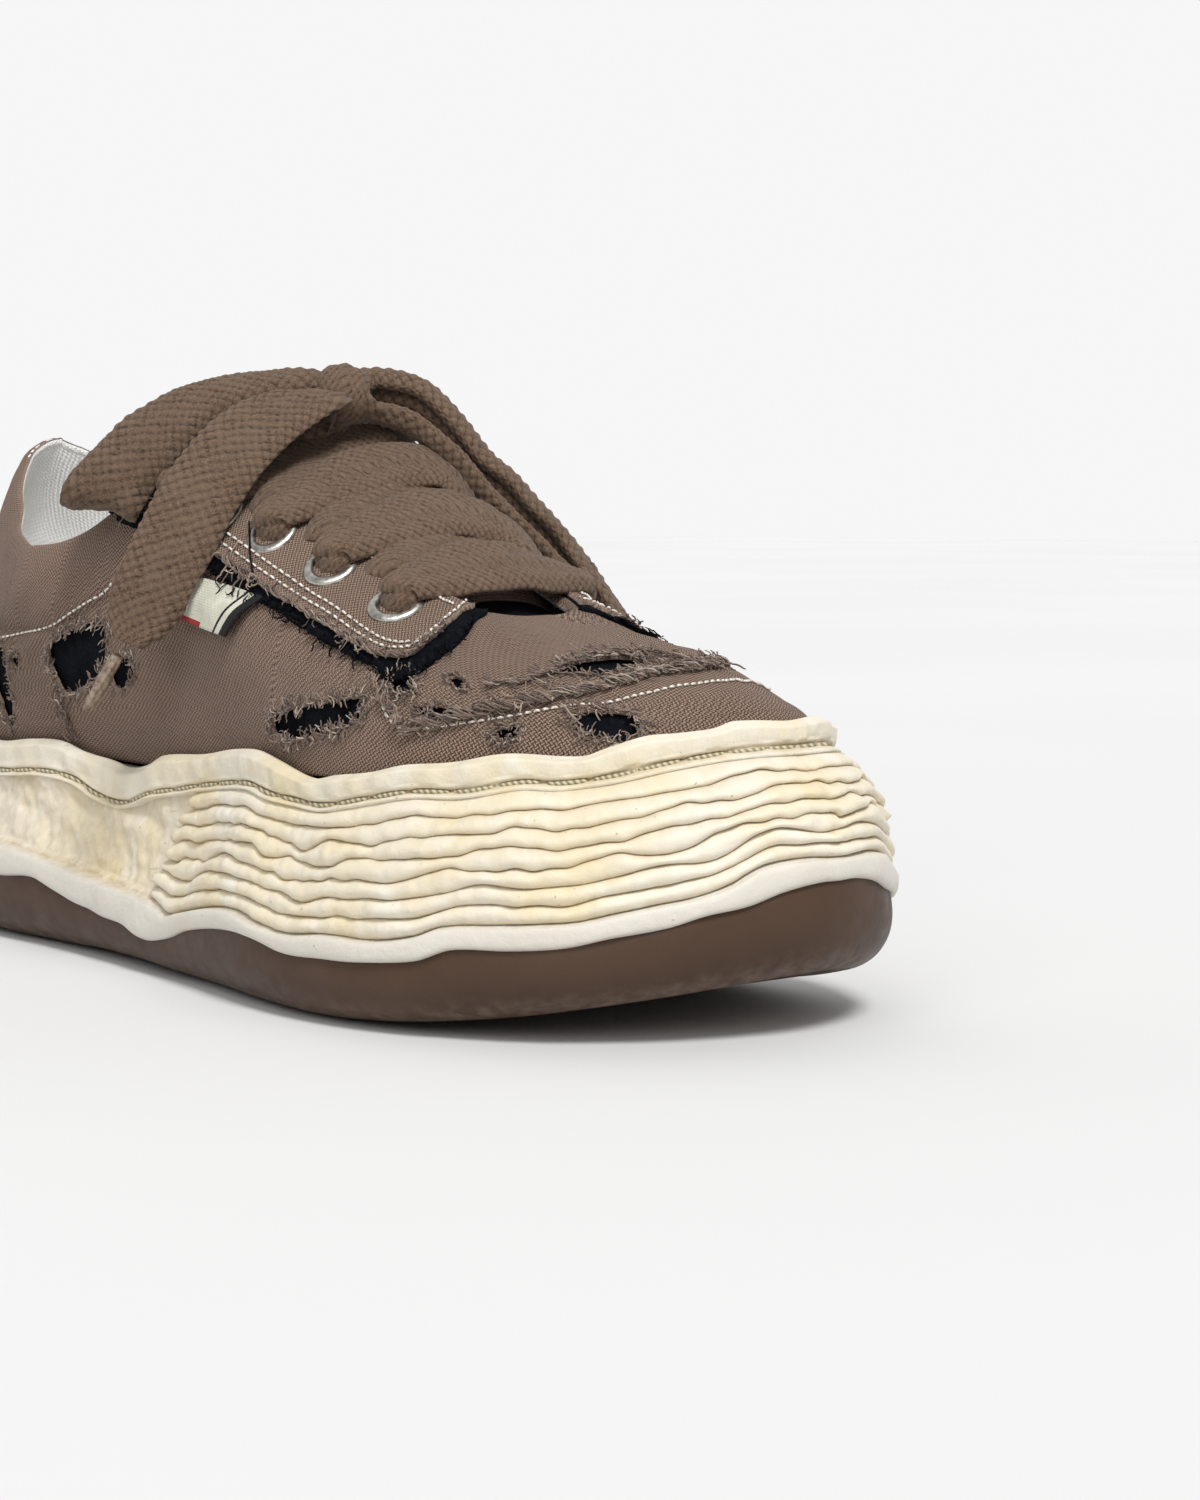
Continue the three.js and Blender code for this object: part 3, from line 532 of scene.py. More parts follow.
def frayed_cotton():
    """Ravelled canvas yarn: hairy, each strand its own tone from dark brown to dusty pale."""
    finish, tree, surface = new_finish("ravelled_canvas_yarn", 0.95, **{"Sheen Weight": 0.3})
    ramp = add_node(tree, "ShaderNodeValToRGB", {"Fac": value_of(tree, "tone")})
    stops = ((0.0, "382b24"), (0.2, "6e594c"), (0.6, "8d7667"), (0.85, "a99280"), (1.0, "cdbfae"))
    while len(ramp.color_ramp.elements) < len(stops):
        ramp.color_ramp.elements.new(0.5)
    for element, (place, colour) in zip(ramp.color_ramp.elements, stops):
        element.position, element.color = place, linear(colour)
    hair = blend(tree, span(tree, noise(tree, 0.4, 2), 0.35, 0.65, 0, 0.5), ramp.outputs[0], linear("5a4a43"))
    tree.links.new(hair, surface.inputs["Base Color"])
    bumped(tree, surface, noise(tree, 0.3, 2), 0.12)
    return finish


def twisted_thread(name, colour, dark):
    """Waxed two-ply thread: a slight gloss and a slanting twist, with painted shade in the twist's grooves.
    """
    finish, tree, surface = new_finish(name, 0.6)
    ply = add_node(tree, "ShaderNodeTexWave", {
        "Vector": add_node(tree, "ShaderNodeTexCoord").outputs["Object"], "Scale": 320.0, "Distortion": 2.0},
        bands_direction="DIAGONAL").outputs["Fac"]
    # Painted shade: darker where the twist's height is low, paler where it is high.
    tree.links.new(blend(tree, ply, linear(dark), linear(colour)), surface.inputs["Base Color"])
    bumped(tree, surface, ply, 0.1)
    return finish


def foam_rubber():
    """Moulded foam rubber, aged: cream with yellow stains, whiter lower band, brown dirt and painted shade in
    the creases and the groove.
    """
    finish, tree, surface = new_finish(
        "aged_moulded_foam", 0.52, **{"Subsurface Weight": 0.06, "Specular IOR Level": 0.4})
    surface.inputs["Subsurface Scale"].default_value = 1.5 * MM
    cream, stain = colour_of("foam"), colour_of("stain")
    stains = span(tree, noise(tree, 26, 4), 0.42, 0.66)
    streaks = span(tree, noise(tree, 6, 4), 0.45, 0.72, 0, 0.6)
    body = blend(tree, streaks, blend(tree, stains, cream, stain), linear("e0d6bd"))
    body = blend(tree, span(tree, noise(tree, 11, 3), 0.55, 0.75, 0, 0.65), body, linear("f1ede1"))
    band = blend(tree, span(tree, noise(tree, 18), 0.5, 0.75, 0, 0.35), linear("dad5ca"), linear("cec5b3"))
    body = blend(tree, value_of(tree, "band"), body, band)
    patches = span(tree, noise(tree, 2.2, 4), 0.3, 0.62, 0.25, 1)
    # This mask is partly dirt and partly painted shade, darkest in the creases between the layers and in the
    # groove.
    grime_and_shade = reckon(tree, "MULTIPLY", value_of(tree, "grime_and_shade"), patches)
    body = blend(tree, grime_and_shade, body, linear("ab9470"))
    specks = span(tree, noise(tree, 1.3, 1), 0.76, 0.8, 0, 0.55)
    tree.links.new(blend(tree, specks, body, linear("93866f")), surface.inputs["Base Color"])
    height = reckon(tree, "ADD", noise(tree, 2.6, 3), reckon(tree, "MULTIPLY", noise(tree, 0.5, 2), 0.18))
    bumped(tree, surface, height, 0.3)
    return finish


def sole_rubber():
    """Moulded crepe-brown rubber: dull satin, with a fine even grain and dusty scuffs low on the wall."""
    finish, tree, surface = new_finish("moulded_brown_rubber", 0.48, **{"Specular IOR Level": 0.22})
    base = colour_of("rubber")
    body = blend(tree, span(tree, noise(tree, 30), 0.4, 0.65), shade(base, 0.9), shade(base, 1.1))
    dust = reckon(tree, "MULTIPLY", value_of(tree, "dust"), span(tree, noise(tree, 3, 4), 0.4, 0.7))
    tree.links.new(blend(tree, dust, body, linear("7d6c5d")), surface.inputs["Base Color"])
    tree.links.new(span(tree, noise(tree, 4), 0.3, 0.7, 0.42, 0.56), surface.inputs["Roughness"])
    bumped(tree, surface, noise(tree, 0.45, 2), 0.05)
    return finish


def rolled_nickel():
    """Rolled, tumbled nickel eyelet: a soft grey gloss with hairline rubs."""
    finish, tree, surface = new_finish("tumbled_nickel", 0.34, Metallic=1.0)
    rub = noise(tree, 1.5, 4)
    tree.links.new(blend(tree, span(tree, rub, 0.35, 0.65), linear("b0aca4"), linear("dad7d0")),
                   surface.inputs["Base Color"])
    tree.links.new(span(tree, rub, 0.3, 0.7, 0.28, 0.42), surface.inputs["Roughness"])
    bumped(tree, surface, noise(tree, 0.6, 2), 0.03)
    return finish


def wrapped_tip():
    """Lace tip wrapped in brown acetate film: a dull gloss with long creases, with painted shade in their
    lows and a painted highlight on their ridges.
    """
    finish, tree, surface = new_finish("acetate_lace_tip", 0.45)
    crease = noise(tree, 1.2, 3)
    # Painted shade and highlight: the film is darker where the crease height is low, paler where it is high.
    tree.links.new(blend(tree, span(tree, crease, 0.35, 0.65), linear("6d5a4c"), linear("a08e7c")),
                   surface.inputs["Base Color"])
    bumped(tree, surface, crease, 0.2)
    return finish


def tag_tape():
    """Woven cotton tape: off-white, with a red thread line and a black folded end, no lettering."""
    finish, tree, surface = new_finish("woven_tag_tape", 0.85)
    uv = add_node(tree, "ShaderNodeUVMap", uv_map="cloth").outputs[0]
    parts = add_node(tree, "ShaderNodeSeparateXYZ", {0: uv})
    ground = blend(tree, span(tree, noise(tree, 4), 0.4, 0.7), linear("dedccb"), linear("cbc9b6"))
    red = reckon(tree, "MULTIPLY", reckon(tree, "LESS_THAN", parts.outputs[1], 1.1),
                 reckon(tree, "LESS_THAN", parts.outputs[0], 10.5))
    black = reckon(tree, "GREATER_THAN", parts.outputs[0], 17.2)
    line = reckon(tree, "MULTIPLY", reckon(tree, "GREATER_THAN", parts.outputs[0], 15.2),
                  reckon(tree, "LESS_THAN", parts.outputs[0], 15.8))
    colour = blend(tree, red, ground, linear("a3262a"))
    colour = blend(tree, reckon(tree, "MAXIMUM", black, line), colour, linear("121216"))
    tree.links.new(colour, surface.inputs["Base Color"])
    bumped(tree, surface, plain_weave(tree, 0.5), 0.12)
    return finish


FINISH_MAKERS = {
    "canvas": cotton_canvas, "felt": black_felt, "lining": lining_knit, "braid": spun_braid,
    "yarn": frayed_cotton, "foam": foam_rubber, "rubber": sole_rubber, "nickel": rolled_nickel,
    "tip": wrapped_tip, "tag": tag_tape,
    "white_thread": lambda: twisted_thread("white_sewing_thread", "f2ede4", "c9c0b4"),
    "welt_thread": lambda: twisted_thread("waxed_welt_thread", "cfc6a8", "857a5c"),
}


def finish_of(key):
    """The finish of that name, made the first time that a piece asks for it."""
    for material in bpy.data.materials:
        if material.get("sneaker_finish") == key:
            return material
    material = FINISH_MAKERS[key]()
    material["sneaker_finish"] = key
    return material


# ---- Sizes and colours that a user would change ----
class SneakerSizes(bpy.types.PropertyGroup):
    """Sizes of the cloth, lace, eyelets and sole"""
    canvas_thread: FloatProperty(
        name="Canvas thread", description="Spacing of the canvas threads", default=0.74 * MM, unit="LENGTH")
    canvas_thickness: FloatProperty(
        name="Canvas thickness", description="Thickness of the outer canvas", default=0.9 * MM, unit="LENGTH")
    lace_width: FloatProperty(
        name="Lace width", description="Width of the flat lace laid out", default=16 * MM, unit="LENGTH")
    lace_thickness: FloatProperty(
        name="Lace thickness", description="Thickness of the puffy flat lace", default=2.9 * MM,
        unit="LENGTH")
    braid_cell: FloatProperty(
        name="Braid cell", description="Spacing of the lace's woven strands", default=1.9 * MM, unit="LENGTH")
    ring_radius: FloatProperty(
        name="Eyelet radius", description="Radius to the middle of an eyelet's roll", default=4.75 * MM,
        unit="LENGTH")
    layer_count: IntProperty(
        name="Sole layers", description="Stacked layers between the stitched groove and the band", default=7)
    layer_depth: FloatProperty(
        name="Crease depth", description="Depth of the creases between the sole's layers", default=2.2 * MM,
        unit="LENGTH")
    stitch_length: FloatProperty(
        name="Stitch length", description="Length of one canvas stitch", default=2.6 * MM, unit="LENGTH")


def colour_property(name, description, colour):
    """A colour setting whose default is an sRGB hex colour."""
    return FloatVectorProperty(name=name, description=description, default=linear(colour)[:3],
                               subtype="COLOR", min=0, max=1)


class SneakerColours(bpy.types.PropertyGroup):
    """Colours of the dyed and moulded pieces"""
    canvas: colour_property("Canvas", "Washed canvas of the upper", "866d5e")
    lace: colour_property("Lace", "Spun cotton lace", "6f5b4b")
    foam: colour_property("Foam", "Cream of the sole's body", "e6decd")
    stain: colour_property("Stain", "Yellowed foam", "e2d3ae")
    rubber: colour_property("Rubber", "Brown outsole", "4d3a2d")
    lining: colour_property("Lining", "White lining", "f8f7f4")


# ---- Camera and stage ----
VIEW_TURN, VIEW_RISE, VIEW_DISTANCE = 47.0, 4.776, 668.0
VIEW_AIM = (62.677, 48.293)
LENS = 87.1416
AWAY = (-0.73, 0.68, -0.08)
LAMPS = (  # name, the way towards it, spread in degrees, strength
    ("key_light", (0.7, -0.3, 1.0), 16, 2.35), ("side_light", (0.5, -0.9, 0.7), 40, 0.85),
)


class SNEAKER_OT_stage(bpy.types.Operator):
    """Sets the camera, a pale seamless floor and soft studio light"""
    bl_idname = "sneaker.stage"
    bl_label = "Stage"

    def execute(self, context):
        turn, rise = math.radians(VIEW_TURN), math.radians(VIEW_RISE)
        back = Vector((math.sin(turn) * math.cos(rise), -math.cos(turn) * math.cos(rise), math.sin(rise)))
        right = Vector((math.cos(turn), math.sin(turn), 0))
        up = back.cross(right)
        aim = (right * VIEW_AIM[0] + up * VIEW_AIM[1]) * MM
        bpy.ops.object.camera_add(location=aim + back * VIEW_DISTANCE * MM)
        camera = context.object
        camera.rotation_euler = Matrix((right, up, back)).transposed().to_euler()
        camera.data.sensor_fit = "HORIZONTAL"
        camera.data.sensor_width = 36
        camera.data.lens = LENS
        camera.data.clip_start, camera.data.clip_end = 0.01, 50
        context.scene.camera = camera

        bpy.ops.mesh.primitive_plane_add(size=14, location=(0, 0, -0.0002))
        floor = context.object
        floor.name = "floor"
        finish, tree, surface = new_finish("matt_studio_paper", 0.85, **{"Specular IOR Level": 0.25})
        tint = blend(tree, span(tree, noise(tree, 900), 0.4, 0.6), linear("dedede"), linear("e1e1e1"))
        tree.links.new(tint, surface.inputs["Base Color"])
        floor.data.materials.append(finish)

        world = context.scene.world or bpy.data.worlds.new("studio")
        context.scene.world = world
        world.use_nodes = True
        ground = world.node_tree.nodes.get("Background") or world.node_tree.nodes.new("ShaderNodeBackground")
        ground.inputs["Color"].default_value = linear("ffffff")
        tree = world.node_tree
        look = add_node(tree, "ShaderNodeTexCoord").outputs["Generated"]
        behind = add_node(tree, "ShaderNodeVectorMath", {0: look, 1: AWAY}, operation="DOT_PRODUCT")
        glow = span(tree, behind.outputs["Value"], -0.1, 0.55, 0.28, 0.925)
        tree.links.new(glow, ground.inputs["Strength"])
        context.scene.view_settings.view_transform = "Standard"
        for name, place, spread, power in LAMPS:
            bpy.ops.object.light_add(type="SUN", location=place)
            light = context.object
            light.name = name
            light.data.angle = math.radians(spread)
            light.data.energy = power
            light.rotation_euler = Vector(place).to_track_quat("Z", "Y").to_euler()
        return {"FINISHED"}


# ---- Laces ----
KNOT_PLACE = (7.0, 0.0, 129.0)
# A separate fitting script worked out these four routes, so they differ from the frame's own.
LATERAL_LOOP = (
    (4.3, 1.5, 131, 0.09, 0.17, 0.98), (0.9, -6.3, 132.7, 0.11, -0, 0.99),
    (-4.5, -13.7, 132, 0.24, -0.37, 0.9), (-10.1, -20.7, 129.7, 0.32, -0.59, 0.74),
    (-15.5, -27.7, 125.4, 0.4, -0.75, 0.52), (-20.3, -33.7, 118.8, 0.52, -0.81, 0.28),
    (-24.4, -38.2, 111.8, 0.61, -0.79, 0.05), (-27.7, -40.1, 106.9, 0.45, -0.85, -0.29),
    (-31.5, -39.5, 104.7, 0.07, -0.24, -0.97), (-34, -36.8, 105.6, -0.37, 0.68, -0.63),
    (-31.9, -33.2, 111.7, -0.61, 0.77, -0.18), (-27.4, -28.3, 119, -0.55, 0.8, -0.25),
    (-21.5, -21.9, 124.8, -0.49, 0.75, -0.44), (-14.8, -14.5, 128.7, -0.4, 0.61, -0.68),
    (-7.9, -7.6, 129.8, -0.26, 0.35, -0.9), (-1.5, -1.9, 129.7, -0.06, 0.07, -1),
)
LATERAL_END = (
    (7.8, -6.8, 128.5, 0.17, -0.35, 0.92), (6, -14.9, 125.7, 0.47, -0.48, 0.74),
    (3.9, -25.4, 118.7, 0.62, -0.58, 0.53), (2.5, -34, 109, 0.69, -0.63, 0.36),
    (1, -40.7, 97.5, 0.7, -0.68, 0.2), (-2.2, -45.5, 86.3, 0.71, -0.71, 0.01),
    (-6.7, -48.8, 74.5, 0.68, -0.73, -0.06),
)
MEDIAL_END = (
    (7.5, 8.2, 132.9, -0.01, 0.11, 0.99), (11.6, 12.4, 132.4, 0.08, 0.2, 0.98),
    (15.1, 16, 130.6, 0.26, 0.44, 0.86), (18.5, 19.2, 126.8, 0.41, 0.58, 0.71),
    (22.4, 22.7, 120.9, 0.46, 0.62, 0.63), (26.2, 26, 114.6, 0.46, 0.57, 0.68),
    (29.9, 29.4, 110.3, 0.43, 0.55, 0.71), (34.7, 33, 104, 0.47, 0.58, 0.67),
    (42, 38.2, 94.1, 0.53, 0.59, 0.61), (51.1, 43.3, 79.8, 0.6, 0.56, 0.57),
    (56.2, 45.5, 71.8, 0.65, 0.51, 0.56),
)
MEDIAL_LOOP = (
    (5.4, 9.9, 129.9, 0.07, 0.2, 0.98), (11.7, 16.4, 128, 0.24, 0.36, 0.9),
    (17.9, 22.4, 121.5, 0.44, 0.55, 0.71), (22.8, 26.5, 113.3, 0.48, 0.59, 0.64),
    (27.4, 30.7, 106.8, 0.45, 0.57, 0.69), (33.6, 35.8, 98.8, 0.45, 0.57, 0.69),
    (38.8, 39.6, 91.8, 0.48, 0.59, 0.65), (43.3, 40.4, 87.4, 0.65, 0.55, 0.53),
    (45, 38.2, 85.6, 0.9, -0.15, -0.4), (42.9, 34, 88.8, -0.27, -0.63, -0.73),
    (37.2, 29.5, 96, -0.42, -0.59, -0.69), (31.8, 25.3, 102.9, -0.45, -0.57, -0.69),
    (27.2, 21.3, 109.2, -0.46, -0.58, -0.67), (22.4, 17.4, 116.1, -0.45, -0.52, -0.73),
    (16.5, 12.1, 122.2, -0.27, -0.39, -0.88), (10.2, 6.5, 124.7, -0.14, -0.27, -0.95),
)
LATERAL_TIP = ((-8.8, -50.2, 71.4), (-17.5, -52.4, 59.5))
MEDIAL_TIP = ((58, 46.4, 71), (61, 48.2, 57))


def braid_cells(u, v, cell):
    """Height of the braid's over-and-under strands, 0 in the hollows to 1 on the crowns."""
    p, q = (u + v) / cell / 2 ** 0.5, (u - v) / cell / 2 ** 0.5
    over = (np.floor(p) + np.floor(q)) % 2 > 0.5
    tall, long_ = np.where(over, p, q) % 1, np.where(over, q, p) % 1
    crown = np.sin(np.pi * tall) ** 0.6
    return crown * (0.5 + 0.5 * np.sin(np.pi * long_) ** 0.7)


def braid_points(route, width, cup, step=0.5, around=60, cell=None, relief=0.6, puff=0.0, seed=3):
    """A flat puffy braid along the route, whose columns are x, y, z and the way its face looks.

    width gives the share of the full width along it, and cup how far its edges bend towards its
    back in millimetres, both as pairs of (share along, value)."""
    line, gone = respace(catmull(route, 14), step)
    n = len(line)
    share = np.linspace(0, 1, n)
    along = unit(np.gradient(line[:, :3], axis=0))
    side = unit(np.cross(along, line[:, 3:6]))
    face = np.cross(side, along)
    w = np.interp(share, *zip(*width))
    w = np.convolve(np.pad(w, 8, mode="edge"), np.hanning(17) / np.hanning(17).sum(), "valid")
    sizes = bpy.context.scene.sneaker_sizes
    full, thick = sizes.lace_width / MM / 2, sizes.lace_thickness / MM
    cell = cell or sizes.braid_cell / MM
    half = full * w * (1 + 0.025 * sweep_noise(seed, gone, 14))
    bend = np.interp(share, *zip(*cup)) + 0.35 * sweep_noise(seed + 1, gone, 19)
    tall = thick / 2 * (1 + (1 - w) * 0.9) * (1 + puff * np.sin(np.pi * share))
    turn = np.linspace(0, 2 * np.pi, around, endpoint=False)
    c, s = np.cos(turn), np.sin(turn)
    x = np.sign(c) * np.abs(c) ** 0.72
    y = np.sign(s) * np.abs(s) ** 0.8
    across = full * x[None, :]
    cells = braid_cells(gone[:, None] + 0 * across, across + np.where(s < 0, 0.5 * cell, 0)[None, :], cell)
    ripple = 0.28 * field_noise(seed + 2, gone[:, None], across, 6)
    out = tall[:, None] * y[None, :] * (1 + 0.12 * np.cos(3 * np.pi * x)[None, :])
    rise = out - bend[:, None] * (x[None, :] ** 2) + np.sign(y)[None, :] * np.abs(y)[None, :] ** 0.5 * (
        relief * (cells - 0.6) + ripple * 0.3)
    fluff = np.sign(x)[None, :] * np.abs(c)[None, :] ** 3 * relief * 0.8 * (cells - 0.5)
    wide = half[:, None] * x[None, :] + fluff
    points = line[:, None, :3] + side[:, None] * wide[..., None] + face[:, None] * rise[..., None]
    uv = np.stack([np.broadcast_to(gone[:, None], wide.shape), across + np.zeros_like(wide)], -1)
    return points, uv, 1 - cells, line[:, :3], gone[-1]


def braid_piece(name, route, nodes, **shape):
    """A braid with closed ends along the route: the piece, its middle line and its length."""
    points, uv, hollow_shade, line, length = braid_points(route, **shape)
    rows, columns = points.shape[:2]
    faces = list(map(tuple, grid_faces(rows, columns, closed=True)[:, ::-1]))
    places = points.reshape(-1, 3)
    middle = [points[0].mean(0), points[-1].mean(0)]
    count = rows * columns
    for end, start in enumerate((0, (rows - 1) * columns)):
        for i in range(columns):
            a, b = start + i, start + (i + 1) % columns
            faces.append((a, b, count + end) if end == 0 else (b, a, count + end))
    places = np.concatenate([places, middle])
    # How deep each point lies in the braid's hollows, used for the finish's painted shade.
    hollow_shade = np.concatenate([hollow_shade.ravel(), [0.4, 0.4]])
    uv = np.concatenate([uv.reshape(-1, 2), [[0, 0], [length, 0]]])
    obj = make_piece(name, places, faces, finish_of("braid"), nodes, uv, {"hollow_shade": hollow_shade})
    return obj, line, length


def tip_piece(name, ends, node):
    """A wrapped lace tip: a primitive cylinder, waisted, with its film creased."""
    start, end = (Vector(p) * MM for p in ends)
    length = (end - start).length
    bpy.ops.object.select_all(action="DESELECT")
    bpy.ops.mesh.primitive_cylinder_add(vertices=28, radius=1.45 * MM, depth=length,
                                        location=(start + end) / 2)
    tip = bpy.context.object
    tip.rotation_euler = (end - start).to_track_quat("Z", "Y").to_euler()
    bpy.ops.object.transform_apply(location=False, rotation=False, scale=True)
    bpy.ops.object.mode_set(mode="EDIT")
    bpy.ops.mesh.select_all(action="SELECT")
    bpy.ops.mesh.subdivide(number_cuts=5)
    bpy.ops.object.mode_set(mode="OBJECT")
    for v in tip.data.vertices:
        turn = math.atan2(v.co.y, v.co.x)
        along = v.co.z / length
        swell = 1 + 0.09 * math.sin(3 * turn + 9 * along) + 0.05 * math.sin(7 * turn - 5 * along)
        swell *= 1 - 0.35 * max(0, along - 0.3) - 0.5 * max(0, abs(along) - 0.47) * 8
        v.co.x *= swell * 1.12
        v.co.y *= swell * 0.85
    bpy.ops.object.transform_apply(location=True, rotation=True, scale=True)
    tip.data.shade_smooth()
    tip.name = tip.data.name = name
    return finish_piece(tip, finish_of("tip"), (node,))


class SNEAKER_OT_bow(bpy.types.Operator):
    """Ties the bow: two free cords of flat braid through one knot, with their tips"""
    bl_idname = "sneaker.bow"
    bl_label = "Bow"

    def execute(self, context):
        through_high = ((-1.5, -4.5, 129.2, 0, 0.3, -0.95), (3.5, 0, 130.2, 0.1, -0.5, 0.3),
                        (6.5, 4.5, 132, 0.1, 0.1, 0.97))
        through_low = ((10, 4.4, 124.6, 0, -0.1, -0.97), (9.2, 0, 126, 0.3, 0, -0.6),
                       (7.5, -4.4, 127.8, 0.2, -0.2, 0.9))
        first_route = (*LATERAL_LOOP, *through_high, *MEDIAL_END)
        second_route = (*MEDIAL_LOOP, *through_low, *LATERAL_END)
        first_width = ((0, 0.5), (0.05, 0.62), (0.1, 0.8), (0.17, 0.98), (0.27, 1.1), (0.36, 0.95),
                       (0.43, 0.6), (0.5, 0.45), (0.56, 0.42), (0.62, 0.5), (0.72, 0.6), (0.85, 0.8),
                       (0.97, 0.9), (1, 0.5))
        second_width = ((0, 0.45), (0.08, 0.55), (0.2, 0.75), (0.3, 0.8), (0.4, 0.6), (0.5, 0.45),
                        (0.57, 0.42), (0.61, 0.7), (0.66, 0.95), (0.75, 1.05), (0.84, 1.1), (0.95, 1.05),
                        (0.985, 0.85), (1, 0.35))
        tips = [tip_piece("lace_tip_medial", MEDIAL_TIP, "aglet_medial"),
                tip_piece("lace_tip_lateral", LATERAL_TIP, "aglet_lateral")]
        for name, route, width, nodes, tip, cup in (
            ("bow_lateral_loop", first_route, first_width, ("lace_loop_lateral", "lace_end_medial"), tips[0],
             ((0, 2.0), (0.12, 1.8), (0.22, 0.6), (0.3, 0.3), (0.45, 1.6), (0.6, 1.5), (0.8, 0.6),
              (1, 0.2))),
            ("bow_medial_loop", second_route, second_width, ("lace_loop_medial", "lace_end_lateral"), tips[1],
             ((0, 1.5), (0.3, 0.8), (0.45, 1.5), (0.6, 1.6), (0.72, 0.7), (0.9, 0.2), (1, 0.1))),
        ):
            cord, line, length = braid_piece(name, route, nodes, width=width, cup=cup, seed=len(name))
        self.knot()
        return {"FINISHED"}

    def knot(self):
        """The wrap of the knot: a braid turned once round the strands, slanted and pulled tight."""
        axis = Vector((0.66, 0.73, -0.14)).normalized()
        up = Vector((0, 0, 1)) - axis * axis.z
        front = axis.cross(up).normalized() * -1
        route = []
        for turn in np.linspace(0, 2 * np.pi, 19):
            out = front * (5.2 * math.sin(turn)) + up.normalized() * (5.0 * math.cos(turn))
            spot = Vector(KNOT_PLACE) + out + axis * (0.9 * math.sin(turn / 2))
            route.append((*spot, *out.normalized()))
        braid_piece("bow_knot", route, ("lace_knot",), width=((0, 0.68), (0.5, 0.78), (1, 0.68)),
                    cup=((0, 1.6), (1, 1.6)), cell=1.6, relief=0.22, seed=31)



def seat(x, sign, setback):
    """Where a facing stands at x: its shares round the shoe and up the wall, its place and its normal."""
    a = np.linspace(0.2, 0.68, 400) if sign < 0 else np.linspace(1.8, 1.32, 400)
    _, length = last(a, np.ones_like(a))
    v = 1 - setback / length
    points = last(a, v)[0]
    k = int(np.abs(points[:, 0] - x).argmin())
    return a[k], v[k], points[k], wall_normal(a[k:k + 1], v[k:k + 1])[0]


EYELET_STATIONS = (57.5, 37.0, 17.5, 0.0, -16.0)
EYELET_SETBACK = 10.5
TONGUE_RISE = (  # x, rise of the tongue's crown
    (-60, 0), (-30, 3), (-12, 13), (2, 15), (14, 14.5), (26, 12), (38, 9), (50, 5), (62, 2.5),
    (76, 0), (110, 0),
)


def edge_lift(x, sign, setback, lift):
    """A route point lift millimetres over a facing, setback from its edge, and the way it faces."""
    _, _, place, normal = seat(x, sign, setback)
    return (*(place + normal * lift), *normal)


def puff(y):
    """Share of the tongue's rise at y: it bulges most between the laces towards the medial side."""
    return 0.35 + 0.65 * np.exp(-((np.asarray(y) - 15) / 14) ** 2)


def throat_crown(x, lift, y=0):
    """A place over the tongue lift millimetres above the line between the facings, and the way it faces."""
    left, right = seat(x, -1, 0.01)[2], seat(x, 1, 0.01)[2]
    low, high = seat(x - 4, -1, 0.01)[2][2], seat(x + 4, -1, 0.01)[2][2]
    height = lift - 9 * (y / 28) ** 2 + 0.85 * puff(y) * profile(TONGUE_RISE, x)
    return (x, y, (left[2] + right[2]) / 2 + height, (low - high) / 8 + 0.35, 0.022 * y - 0.15, 1)


